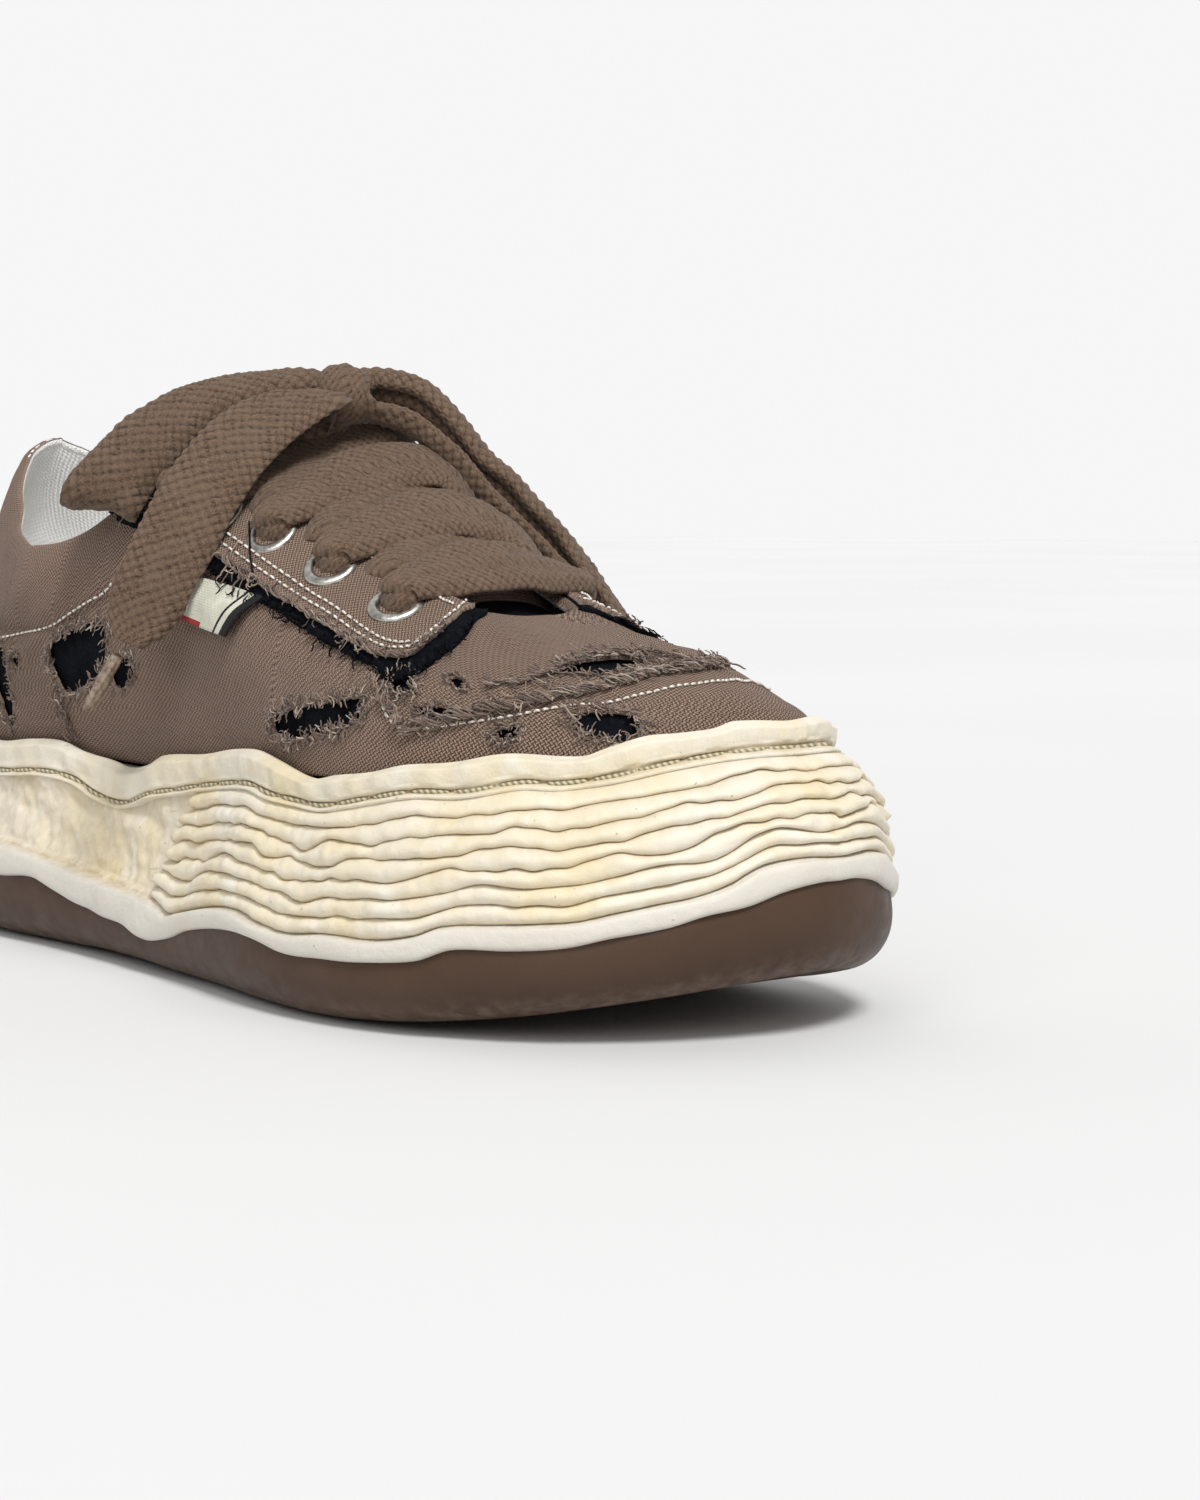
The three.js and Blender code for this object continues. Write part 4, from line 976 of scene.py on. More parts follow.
class SNEAKER_OT_laces(bpy.types.Operator):
    """Runs the flat lace through the eyelets and over the throat"""
    bl_idname = "sneaker.laces"
    bl_label = "Laces"

    def emerge(self, x, sign):
        """From inside the eyelet, up and over towards the throat."""
        _, _, place, normal = seat(x, sign, EYELET_SETBACK)
        _, _, edge, _ = seat(x, sign, 0.01)
        inwards = unit(edge - place)
        back = unit(normal - 0.2 * inwards)
        return [(*(place - normal * 4 - inwards * 0.6), *(-inwards)),
                (*(place + normal * 0.6 - inwards * 0.4), *(-inwards + 0.3 * normal)),
                (*(place + normal * 3.6 + inwards * 1.2), *(normal - 0.4 * inwards)),
                (*(place + normal * 4.8 + inwards * 4.6), *back)]

    def execute(self, context):
        gather = ((0, 0.42), (0.08, 0.52), (0.2, 0.78), (0.38, 1.05), (0.62, 1.0), (0.8, 0.75),
                  (0.92, 0.5), (1, 0.42))
        cup = ((0, 1.6), (0.15, 1.4), (0.4, 0.4), (0.6, 0.4), (0.85, 1.4), (1, 1.6))
        x = EYELET_STATIONS[0]
        bar = [*self.emerge(x, -1), throat_crown(x + 2.5, 4.6), *self.emerge(x, 1)[::-1]]
        braid_piece("lace_front_bar", bar, ("lace_bar",), width=gather, cup=cup, cell=1.6, relief=0.34,
                    puff=0.15, seed=41)
        tucked = ((0, 0.42), (0.08, 0.52), (0.22, 0.8), (0.42, 1.0), (0.7, 1.0), (1, 0.85))
        for k, x in enumerate(EYELET_STATIONS[1:4]):
            for sign in (1, -1):
                over = 0.6 if sign < 0 else -1.6
                near, far = (0, 14) if sign < 0 else (14, 0)
                crossing = [throat_crown(x + 3.0, 3.6 + over, near), throat_crown(x + 7.5, 3.2 + over, far)]
                route = [*self.emerge(x, sign), *crossing,
                         edge_lift(x + 11.5, -sign, 1.0, 3.0 + over * 0.6),
                         edge_lift(x + 13.0, -sign, 5.0, 0.2)]
                side = "lateral" if sign < 0 else "medial"
                nodes = (f"lace_cross_{k + 1}",) if sign < 0 else ()
                braid_piece(f"lace_strand_{side}_{k + 1}", route, nodes, width=tucked, cup=cup, cell=1.6,
                            relief=0.34, puff=0.15, seed=50 + 3 * k + sign)
        for sign in (-1, 1):
            route = [*self.emerge(EYELET_STATIONS[4], sign), (-7, sign * 9.5, 118.8, 0.35, sign * 0.25, 0.9),
                     (0, sign * 3.5, 121.6, 0.3, 0, 0.95), (5.5, -sign * 2.5, 125.2, 0.2, 0, 0.97)]
            side = "lateral" if sign < 0 else "medial"
            braid_piece(f"lace_tie_{side}", route, ("lace_tie",) if sign < 0 else (),
                        width=((0, 0.34), (0.1, 0.38), (0.3, 0.62), (0.7, 0.66), (1, 0.4)), cup=cup, cell=1.6,
                        relief=0.34, seed=70 + sign)
        return {"FINISHED"}


class SNEAKER_OT_eyelets(bpy.types.Operator):
    """Sets the rolled eyelets along both facings"""
    bl_idname = "sneaker.eyelets"
    bl_label = "Eyelets"

    def execute(self, context):
        radius = context.scene.sneaker_sizes.ring_radius
        for sign, side in ((-1, "lateral"), (1, "medial")):
            for k, x in enumerate(EYELET_STATIONS):
                _, _, place, normal = seat(x, sign, EYELET_SETBACK)
                bpy.ops.object.select_all(action="DESELECT")
                bpy.ops.mesh.primitive_torus_add(major_segments=64, minor_segments=20, major_radius=radius,
                                                 minor_radius=1.3 * MM)
                ring = context.object
                bpy.ops.mesh.primitive_cylinder_add(vertices=64, radius=radius - 1.0 * MM, depth=2.8 * MM,
                                                    end_fill_type="NOTHING", location=(0, 0, -1.4 * MM))
                barrel = context.object
                wall = barrel.modifiers.new("wall", "SOLIDIFY")
                wall.thickness = 0.3 * MM
                bpy.ops.object.modifier_apply(modifier=wall.name)
                ring.select_set(True)
                context.view_layer.objects.active = ring
                bpy.ops.object.join()
                for vert in ring.data.vertices:
                    if vert.co.z > -1.2 * MM:
                        vert.co.z *= 0.72
                turn = Vector(normal).to_track_quat("Z", "Y").to_matrix().to_4x4()
                spot = Vector(place + normal * 1.5) * MM
                ring.data.transform(Matrix.Translation(spot) @ turn)
                ring.matrix_world = Matrix.Identity(4)
                ring.data.shade_smooth()
                ring.name = ring.data.name = f"ring_{side}_{k + 1}"
                finish_piece(ring, finish_of("nickel"), (f"eyelet_{side}_{k + 1}",))
        return {"FINISHED"}


# ---- Sole: heights along the shoe as (share round the shoe from the toe, height in millimetres) ----
# Most rows of the next four tables were printed by a separate fitting script, not chosen by hand.
BAND_FOOT = (
    (0, 31.5), (0.017, 31.4), (0.038, 30.1), (0.059, 27.7), (0.083, 26.1), (0.105, 23.7), (0.136, 21.8),
    (0.162, 19.7), (0.194, 18.8), (0.227, 18.4), (0.25, 15.7), (0.287, 14.3), (0.322, 13.7), (0.36, 13.6),
    (0.391, 15.4), (0.43, 15.3), (0.483, 12.7), (0.518, 9.2), (0.544, 7.8), (0.584, 10), (0.624, 11.3),
    (0.663, 13.6), (0.699, 16.4), (0.737, 15.6), (0.79, 14.5), (0.85, 16), (0.91, 15.2), (0.96, 17),
    (1, 17.5),
)
BAND_HEAD = (
    (0, 36.1), (0.025, 36.4), (0.051, 35.3), (0.07, 31.9), (0.087, 29.8), (0.112, 28.1), (0.136, 26.3),
    (0.155, 24.8), (0.197, 23.7), (0.234, 22.7), (0.252, 20.5), (0.282, 18.8), (0.322, 18.7), (0.355, 17.6),
    (0.383, 18.3), (0.416, 20), (0.452, 19.1), (0.498, 16.2), (0.518, 14.7), (0.536, 16.2), (0.561, 17.6),
    (0.602, 18.7), (0.662, 20.6), (0.7, 22.2), (0.737, 23.5), (0.79, 23), (0.85, 24), (0.92, 23.5), (1, 26),
)
GROOVE_LINE = (
    (0, 57), (0.044, 56.8), (0.076, 55.7), (0.107, 54.1), (0.14, 51.8), (0.172, 50.5), (0.195, 50.6),
    (0.234, 48.4), (0.27, 47.9), (0.304, 46), (0.346, 43.6), (0.373, 43.9), (0.405, 44.5), (0.439, 45.7),
    (0.508, 43.2), (0.54, 41.4), (0.58, 39.3), (0.612, 36.3), (0.648, 37.4), (0.681, 40.3), (0.718, 41.1),
    (0.779, 39.8), (0.84, 41), (0.92, 42.5), (1, 45),
)
RIM_LINE = (
    (0, 61.6), (0.053, 61.9), (0.068, 60.6), (0.092, 59.8), (0.116, 59.2), (0.139, 57.1), (0.157, 55.3),
    (0.208, 55.5), (0.244, 53.5), (0.279, 52.5), (0.307, 50.6), (0.338, 49.4), (0.362, 48.2), (0.404, 50.8),
    (0.436, 52.3), (0.471, 51.6), (0.514, 49.4), (0.569, 47.7), (0.593, 44.8), (0.616, 43.8), (0.639, 44.8),
    (0.675, 46), (0.704, 48), (0.741, 47.7), (0.784, 46.3), (0.85, 47), (0.92, 49), (1, 51.5),
)
LAYER_ENDS = (0.547, 0.544, 0.538, 0.531, 0.532, 0.527, 0.5175)
RING_LENGTH = SHARES[0][1]
LAYERS_STOP = 1.4  # millimetres under the groove's line
WELT_STITCH = 10.6
OUTSOLE_SECTION = (  # inset from the outline, share of the way up to the band
    (3.6, 1.0), (1.7, 0.97), (1.15, 0.86), (0.9, 0.68), (1.25, 0.5), (2.5, 0.32), (4.7, 0.16), (8, 0.045),
    (12, 0), (15, 0),
)
TREAD_GROOVES, TREAD_PITCH = ((26, 82), (-118, -76)), 14


def level(table, a, seed, sway=0.5):
    """Height of a line round the sole; the medial side follows the lateral with its own sway."""
    at, z = np.array(table).T
    at = np.concatenate([-at[2:0:-1], at, 2 - at[-2:-4:-1]])
    z = np.concatenate([z[2:0:-1], z, z[-2:-4:-1]])
    a = np.mod(a, 2)
    medial = smooth(0.04, 0.12, 2 - a) * smooth(1.0, 1.06, a)
    return between(at, z, np.where(a > 1, 2 - a, a)) + medial * sway * sweep_noise(seed, a * RING_LENGTH, 34)


def round_steps(fine=0.9, coarse=2.4):
    """Shares round the shoe, closer together on the lateral forefoot and the toe."""
    marks = ((0, 0.8, fine), (0.8, 1.78, coarse), (1.78, 2, fine * 1.15))
    return np.concatenate([np.linspace(low, high, int((high - low) * RING_LENGTH / step), endpoint=False)
                           for low, high, step in marks])


def place_on_sole(a, inset, z):
    """Points at height z, inset millimetres inside the outline at a."""
    base = outline(a)
    points = np.zeros(np.shape(z) + (3,))
    lean = inward(a)
    points[..., :2] = base + lean[..., :2] * inset[..., None]
    points[..., 2] = z
    return points


def sole_lean(a, z):
    """How far the sole's wall stands in from its widest outline at height z: it flares out downwards."""
    foot, rim = level(BAND_FOOT, a, 11), level(RIM_LINE, a, 14)
    share = np.clip((z - foot) / (rim - foot), 0, 0.86) / 0.86
    top = rim_inset(outline(a)[..., 0])
    full = 1.4 + 2.4 * smooth(55, 112, outline(a)[..., 0])
    return 0.6 + (top - 0.6) * share ** full


def roll(t, power=2.0):
    """Cross-section of a rolled layer over t from 0 to 1: full in the middle, falling away at its edges."""
    return np.sqrt(np.clip(1 - np.abs(2 * t - 1) ** power, 0, 1))


def sole_levels(a, count):
    """Heights of the boundaries between the stacked layers, from the band up to the groove."""
    head, groove = level(BAND_HEAD, a, 12), level(GROOVE_LINE, a, 13)
    s = a * RING_LENGTH
    levels = []
    for k in range(count + 1):
        inner = math.sin(math.pi * k / count)
        wobble = 0.8 * sweep_noise(100 + k, s, 21) + 0.3 * sweep_noise(130 + k, s, 8)
        levels.append(head + (groove - LAYERS_STOP - head) * k / count + inner * wobble)
    return levels


class SNEAKER_OT_midsole(bpy.types.Operator):
    """Moulds the cup of the sole: wavy lower band, stacked layers, smooth waist, stitched groove and rim"""
    bl_idname = "sneaker.midsole"
    bl_label = "Midsole"

    def execute(self, context):
        sizes = context.scene.sneaker_sizes
        a = round_steps()
        s = a * RING_LENGTH
        x = outline(a)[:, 0]
        foot, groove, rim = level(BAND_FOOT, a, 11), level(GROOVE_LINE, a, 13), level(RIM_LINE, a, 14)
        levels = sole_levels(a, sizes.layer_count)
        rows = []

        def add(z, inset, grime_and_shade=0.0, band=0.0):
            """One more ring round the sole, upwards."""
            rows.append((z, inset + 0 * a, grime_and_shade + 0 * a, band + 0 * a))

        # The band's lowest rings turn under it and are darkened: partly dirt, partly painted shade.
        for drop, inset in ((2.2, 4.6), (0.9, 3.1), (0.2, 1.9)):
            add(foot + drop, inset, 0.5, 1)
        head = levels[0]
        for t in np.linspace(0, 1, 15)[:-1]:
            z = foot + t * (head - foot)
            lump = 0.28 * field_noise(21, s, z, 16)
            # Darker at the band's top, under the first crease, and at its foot: partly dirt, partly painted
            # shade.
            grime_and_shade = 0.5 * smooth(0.86, 1, t) + 0.25 * (1 - smooth(0, 0.08, t))
            add(z, 1.15 - 1.35 * roll(t, 2.6) + lump, grime_and_shade, 1)
        folded = np.where(a > 1, 2 - a, a)
        depth = sizes.layer_depth / MM
        for k in range(sizes.layer_count):
            low, high = levels[k], levels[k + 1]
            end = LAYER_ENDS[min(k, len(LAYER_ENDS) - 1)] - np.where(a > 1, 0.012, 0) * (k % 3)
            ridged = 1 - smooth(end - 0.0015, end + 0.004, folded)
            proud = 0.55 * sweep_noise(160 + k, s, 26) + 0.15 * sweep_noise(190 + k, s, 6)
            tip = 1 - smooth(0, 0.014, end - folded)
            for t in (0, 0.035, 0.09, 0.18, 0.3, 0.42, 0.55, 0.68, 0.8, 0.9, 0.96):
                z = low + t * (high - low)
                lean = sole_lean(a, z)
                squeeze = np.clip((t - 0.5) * (1 + 0.35 * tip) + 0.5, 0, 1)
                layer = lean + depth * (1 - roll(squeeze)) - proud * roll(t) - 0.35 * tip
                lumps = 0.75 * field_noise(22, s, 1.4 * z, 17) + 0.3 * field_noise(23, s, z, 6)
                waist = lean + 1.9 + lumps * smooth(0, 0.03, folded - end) + 0.8 * np.sin(np.pi * np.clip(
                    (z - head) / (groove - head), 0, 1))
                crease = 1 - roll(t, 5)
                edge = np.exp(-((folded - end) / 0.004) ** 2)
                seam = (1 - smooth(0, 1.2, z - head)) * (1 - ridged)
                fine = 0.1 * field_noise(24, s, z, 2.4)
                # Dirt and painted shade together: an even tint on the smooth waist, darkest in the creases
                # between the layers, at the layer ends and at the waist's foot.
                grime_and_shade = ridged * (crease * 0.55 + 0.04) + 0.4 * edge + 0.3 * seam + 0.3 * (1 - ridged)
                add(z, ridged * layer + (1 - ridged) * (waist - 0.9 * seam) + fine, np.clip(grime_and_shade, 0, 1))
        for rise in (-1.3, -0.8, -0.45, -0.2, 0, 0.2, 0.45, 0.8, 1.2):
            z = groove + rise
            cut = np.exp(-(rise / 0.55) ** 2)
            ledge = (1 - smooth(-1.3, -0.4, rise)) * 0.5
            # The groove is darkened most at its cut: partly dirt, partly painted shade.
            add(z, sole_lean(a, z) + 0.4 + 1.3 * cut - ledge * 0.3, 0.7 * cut + 0.1)
        for t in np.linspace(0.04, 1, 15):
            z = groove + 1.3 + t * (rim - groove - 1.3)
            bulge = 0.5 * roll(0.08 + 0.84 * t, 2.4) + 0.2 * sweep_noise(31, s, 12)
            top_round = 1.5 * smooth(0.72, 1.0, t) ** 2
            grain = 0.16 * field_noise(25, s, z, 5)
            add(z, sole_lean(a, z) + 0.75 - bulge + top_round + grain, 0.1 * (1 - t), 0.15)
        top = rim_inset(x)
        for drop, inset in ((-0.35, 2.3), (-0.3, 3.1), (0.1, 3.75), (0.9, 4.1)):
            add(rim - drop, top + inset, 0.25 * (inset > 3), 0.15)
        add(PLATFORM_HEIGHT + spring(x), top + RIM_THICKNESS, 0.3, 0)
        z, inset, grime_and_shade, band = (np.array(part) for part in zip(*rows))
        points = place_on_sole(np.broadcast_to(a, z.shape), inset, z)
        count = len(a)
        faces = grid_faces(len(rows), count, closed=True)[:, ::-1].tolist()
        faces.append(list(range(count)))
        faces.append(list(range((len(rows) - 1) * count, len(rows) * count))[::-1])
        make_piece("moulded_midsole", points, faces, finish_of("foam"), ("midsole",),
                   values={"grime_and_shade": grime_and_shade, "band": band})
        self.thread(context)
        return {"FINISHED"}

    def thread(self, context):
        """The waxed thread that lies in the groove, one long stitch after another."""
        lines = []
        count = int(2 * RING_LENGTH / WELT_STITCH)
        for k in range(count):
            a = (np.linspace(0.03, 0.97, 11) + k) / count * 2
            sag = np.sin(np.linspace(0, np.pi, 11)) ** 0.35
            z = level(GROOVE_LINE, a, 13)
            inset = sole_lean(a, z) + 0.4 + 1.35 - 0.85 * sag
            lines.append(place_on_sole(a, inset, z - 0.15))
        points, faces, _ = tube_mesh(lines, 0.45, sides=8, taper=0.6)
        make_piece("groove_thread", points, faces, finish_of("welt_thread"))


class SNEAKER_OT_outsole(bpy.types.Operator):
    """Moulds the brown rubber outsole with its rounded wall and cross-grooved tread"""
    bl_idname = "sneaker.outsole"
    bl_label = "Outsole"

    def execute(self, context):
        count, across = 420, 22
        a = np.arange(count) * 2 / count
        x = outline(a)[:, 0]
        ground = spring(x) + 0.2 * ARCH_LIFT * smooth(-62, -38, x) * (1 - smooth(-18, 8, x))
        top = level(BAND_FOOT, a, 11) + 1.6
        section = catmull(OUTSOLE_SECTION, 3)
        rows = [place_on_sole(a, inset + 0 * a, ground + share * (top - ground)) for inset, share in section]
        dust = [0.55 * smooth(0.4, 0.05, share) + 0 * a for _, share in section]
        points = np.array(rows)
        faces = grid_faces(len(rows), count, closed=True).tolist()
        base = points.reshape(-1, 3)
        half = count // 2
        share = np.linspace(0, 1, across + 1)[None, :, None]
        left, right = rows[-1][:half + 1], rows[-1][(count - np.arange(half + 1)) % count]
        tread = left[:, None] + (right - left)[:, None] * share
        for first, last_one in TREAD_GROOVES:
            phase = np.abs(np.mod(tread[..., 0] - first + TREAD_PITCH / 2, TREAD_PITCH) - TREAD_PITCH / 2)
            inside = (tread[..., 0] > first - 3) & (tread[..., 0] < last_one + 3)
            tread[..., 2] += np.where(inside, 2.0 * (1 - smooth(1.2, 1.8, phase)), 0)
        start = len(base)
        faces += (grid_faces(half + 1, across + 1) + start)[:, ::-1].tolist()
        lid = len(base) + tread.shape[0] * tread.shape[1]
        upper = rows[0][:half + 1][:, None] + (rows[0][(count - np.arange(half + 1)) % count]
                                               - rows[0][:half + 1])[:, None] * share
        faces += (grid_faces(half + 1, across + 1) + lid).tolist()
        points = np.concatenate([base, tread.reshape(-1, 3), upper.reshape(-1, 3)])
        values = np.concatenate([np.array(dust).ravel(), np.ones(tread.shape[0] * tread.shape[1]),
                                 np.zeros(upper.shape[0] * upper.shape[1])])
        make_piece("rubber_outsole", points, faces, finish_of("rubber"), ("outsole",),
                   values={"dust": values})
        return {"FINISHED"}


class SNEAKER_OT_insole(bpy.types.Operator):
    """Lays the lined footbed, dished at the heel and worn under the ball"""
    bl_idname = "sneaker.insole"
    bl_label = "Insole"

    def execute(self, context):
        count, across = 260, 40
        half = count // 2
        a = np.arange(half + 1) / half
        clear = RIM_THICKNESS + FEATHER_GAP + WALL + 0.7
        left, right = (place_on_sole(side, rim_inset(outline(side)[:, 0]) + clear, 0 * a)
                       for side in (a, 2 - a))
        share = np.linspace(0, 1, across + 1)
        grid = left[:, None] + (right - left)[:, None] * share[None, :, None]
        x, y = grid[..., 0], grid[..., 1]
        edge = np.minimum(share, 1 - share)[None, :] * np.linalg.norm(right - left, axis=1)[:, None]
        edge = np.minimum(edge, np.minimum(130 - x, x + 134.5) * 0.7).clip(0)
        heel_dish = 1.6 * np.exp(-((x + 100) / 30) ** 2 - (y / 22) ** 2)
        ball_dish = 0.9 * np.exp(-((x - 60) / 32) ** 2 - (y / 30) ** 2)
        sunk = 1.5 * (1 - smooth(0, 3.5, edge)) + (heel_dish + ball_dish) * smooth(2, 12, edge)
        top = PLATFORM_HEIGHT + GAP + spring(x) + 4.2 - sunk
        grid[..., 2] = top + 0.15 * field_noise(61, x, y, 14)
        under = grid.copy()
        under[..., 2] = PLATFORM_HEIGHT + GAP + spring(x)
        size = grid.shape[0] * grid.shape[1]
        faces = grid_faces(half + 1, across + 1)[:, ::-1].tolist()
        faces += (grid_faces(half + 1, across + 1) + size).tolist()
        for i in range(half):
            for j, flip in ((0, False), (across, True)):
                p, q = i * (across + 1) + j, (i + 1) * (across + 1) + j
                quad = [p, q, q + size, p + size]
                faces.append(quad[::-1] if flip else quad)
        points = np.concatenate([grid.reshape(-1, 3), under.reshape(-1, 3)])
        make_piece("footbed", points, faces, finish_of("lining"), ("insole",),
                   uv=np.concatenate([grid[..., :2].reshape(-1, 2)] * 2))
        return {"FINISHED"}


# ---- Upper: places on the canvas are (share round the shoe from the toe, share up the wall) ----
ROUND_MM, WALL_MM = RING_LENGTH, 60.0
# Most places from here to TAG were printed by a separate fitting script, not chosen by hand.
PANEL = (
    (0.232, 1.03), (0.2329, 0.93), (0.243, 0.79), (0.2657, 0.597), (0.277, 0.53), (0.2914, 0.5),
    (0.3186, 0.497),
    (0.3629, 0.552), (0.41, 0.593), (0.4571, 0.633), (0.5071, 0.69), (0.545, 0.735), (0.585, 0.79),
    (0.62, 0.86),
    (0.64, 0.94), (0.65, 1.05), (0.44, 1.08),
)
FELT = (
    (0.2, 1.03), (0.203, 0.9), (0.212, 0.78), (0.2357, 0.6), (0.262, 0.47), (0.2771, 0.405), (0.3, 0.38),
    (0.3157, 0.44), (0.3657, 0.492), (0.4143, 0.543), (0.4786, 0.598), (0.5314, 0.665), (0.58, 0.73),
    (0.625, 0.82), (0.65, 0.93), (0.655, 1.05), (0.44, 1.08),
)
HOLES = {
    "side": ((0.7157, 0.504), (0.6886, 0.543), (0.6471, 0.5), (0.636, 0.44), (0.6414, 0.333),
             (0.6557, 0.275),
             (0.6914, 0.233), (0.7071, 0.357), (0.7171, 0.45)),
    "side_lobe": ((0.6314, 0.302), (0.6229, 0.335), (0.6057, 0.31), (0.6043, 0.264), (0.62, 0.217),
                  (0.63, 0.24)),
    "quarter": ((0.4191, 0.132), (0.4086, 0.173), (0.3743, 0.222), (0.3471, 0.26), (0.3237, 0.281),
                (0.3209, 0.207),
                (0.3357, 0.155), (0.3571, 0.124), (0.3843, 0.085), (0.41, 0.068)),
    "corner": ((0.2957, 0.403), (0.2843, 0.434), (0.2729, 0.395), (0.2743, 0.333), (0.2829, 0.318),
               (0.2929, 0.333)),
    "pinhole": ((0.24, 0.403), (0.2314, 0.419), (0.2271, 0.38), (0.23, 0.341), (0.2386, 0.357)),
    "vamp_slash": ((0.14, 0.42), (0.1014, 0.488), (0.0671, 0.51), (0.04, 0.485), (0.022, 0.41),
                   (0.0543, 0.382),
                   (0.0914, 0.349), (0.118, 0.355)),
    "seam_slit": ((0.2734, 0.24), (0.2557, 0.252), (0.2414, 0.217), (0.2214, 0.214), (0.2471, 0.196),
                  (0.2629, 0.205)),
    "toe_pinhole": ((0.2186, 0.101), (0.21, 0.132), (0.2, 0.116), (0.2057, 0.078), (0.2129, 0.078)),
    "toe_side": ((0.1614, 0.101), (0.1557, 0.147), (0.1414, 0.15), (0.1171, 0.115), (0.1176, 0.06),
                 (0.1286, 0.012),
                 (0.1414, 0.031), (0.1586, 0.07)),
    "quarter_pinhole": ((0.7743, 0.442), (0.7686, 0.473), (0.76, 0.426), (0.7629, 0.372), (0.7714, 0.395)),
    "heel_slit": ((0.7986, 0.527), (0.7843, 0.42), (0.772, 0.24), (0.7706, 0.085), (0.7806, 0.047),
                  (0.7873, 0.178),
                  (0.801, 0.349)),
}
TOE_SEAM = ((0.3014, 0.264), (0.3, 0.233), (0.2929, 0.18), (0.2831, 0.15), (0.2614, 0.152), (0.24, 0.163),
            (0.2029, 0.175), (0.1629, 0.187), (0.1271, 0.186), (0.0986, 0.205), (0.07, 0.215),
            (0.0386, 0.225),
            (-0.012, 0.235), (-0.06, 0.24), (-0.12, 0.22), (-0.2, 0.17), (-0.26, 0.15), (-0.3, 0.18),
            (-0.31, 0.28))
ROPES = (
    ((0.2843, 0.132), (0.2686, 0.17), (0.2514, 0.185), (0.2314, 0.2), (0.2014, 0.222), (0.17, 0.243),
     (0.14, 0.255),
     (0.1014, 0.285), (0.07, 0.315), (0.0386, 0.326), (0.0, 0.335), (-0.035, 0.35), (-0.06, 0.35)),
    ((0.2114, 0.345), (0.1943, 0.349), (0.1743, 0.364), (0.1514, 0.398), (0.13, 0.434), (0.1, 0.5),
     (0.0643, 0.53),
     (0.0271, 0.52), (0.0057, 0.44), (-0.02, 0.385), (-0.055, 0.36)),
    ((0.3057, 0.37), (0.3, 0.3), (0.291, 0.23), (0.285, 0.16)),
)
COLLAR_SEAM = ((0.88, 0.46), (0.8386, 0.5), (0.77, 0.574), (0.7386, 0.592), (0.7157, 0.607), (0.6929, 0.63),
               (0.6657, 0.625), (0.6457, 0.62), (0.62, 0.66), (0.6, 0.74))
QUARTER_SEAM = ((0.701, 0.27), (0.698, 0.18), (0.694, 0.08), (0.692, 0.01))
EYELET_ROW = ((0.25, 0.93), (0.3, 0.93), (0.4, 0.94), (0.5, 0.945), (0.6, 0.95))
LOOSE_THREAD = (  # the two shares, then the lift in millimetres
    (0.4934, 0.83, 2.2), (0.484, 0.78, 2.4), (0.4729, 0.715, 2.3), (0.462, 0.665, 2.5),
    (0.4547, 0.622, 1.9),
)
TAG = ((0.5329, 0.607), (0.4443, 0.584), (0.4714, 0.419), (0.5414, 0.463))
FRAYS = {  # how thickly each hole's edge frays, and how long its yarns are
    "side": (7, 4.2), "side_lobe": (7, 3), "quarter": (11, 4.4), "corner": (10, 3.6), "pinhole": (9, 2),
    "vamp_slash": (8, 4), "seam_slit": (6, 3), "toe_pinhole": (10, 2.8), "toe_side": (9, 3.8),
    "quarter_pinhole": (6, 1.8), "heel_slit": (4, 2.5),
}
FOLDS = (  # start, end, half width in millimetres, depth (below 0) or rise
    ((0.36, 0.02), (0.33, 0.40), 5.0, -0.55), ((0.50, 0.05), (0.47, 0.50), 7.0, 0.6),
    ((0.57, 0.10), (0.52, 0.52), 5.0, -0.6), ((0.63, 0.55), (0.55, 0.35), 4.0, -0.55),
    ((0.21, 0.60), (0.10, 0.66), 5.0, -0.35), ((0.80, 0.10), (0.74, 0.55), 6.0, 0.5),
)


def flat(place):
    """Shares round the shoe and up the wall as millimetres on the flat map."""
    return np.asarray(place, float) * (ROUND_MM, WALL_MM)


def mirrored(places):
    """The same places on the medial side."""
    return tuple((-a, v) for a, v in places)


def signed_distance(x, y, outline_points):
    """Distance from a closed outline in millimetres, below 0 inside it."""
    p = np.asarray(outline_points)
    q = np.roll(p, -1, axis=0)
    best = np.full(np.shape(x), 1e9)
    inside = np.zeros(np.shape(x), bool)
    for (x0, y0), (x1, y1) in zip(p, q):
        dx, dy = x1 - x0, y1 - y0
        t = np.clip(((x - x0) * dx + (y - y0) * dy) / (dx * dx + dy * dy + 1e-12), 0, 1)
        best = np.minimum(best, np.hypot(x - x0 - t * dx, y - y0 - t * dy))
        crosses = (y0 > y) != (y1 > y)
        inside ^= crosses & (x < x0 + (y - y0) * dx / (dy if abs(dy) > 1e-9 else 1e-9))
    return np.where(inside, -best, best)


def ragged(places, seed, amount=0.35):
    """A closed torn outline through the places, on the flat map."""
    line = catmull(flat(places), 8, closed=True)
    rng = np.random.RandomState(seed)
    return line + rng.uniform(-amount, amount, line.shape)


HOLE_LINES = {name: ragged(places, 40 + k) for k, (name, places) in enumerate(HOLES.items())}


def outside_holes(x, y):
    """Distance from the nearest hole in millimetres, below 0 inside one."""
    best = np.full(np.shape(x), 1e9)
    for line in HOLE_LINES.values():
        near = (x > line[:, 0].min() - 6) & (x < line[:, 0].max() + 6)
        best[near] = np.minimum(best[near], signed_distance(x[near], y[near], line))
    return best


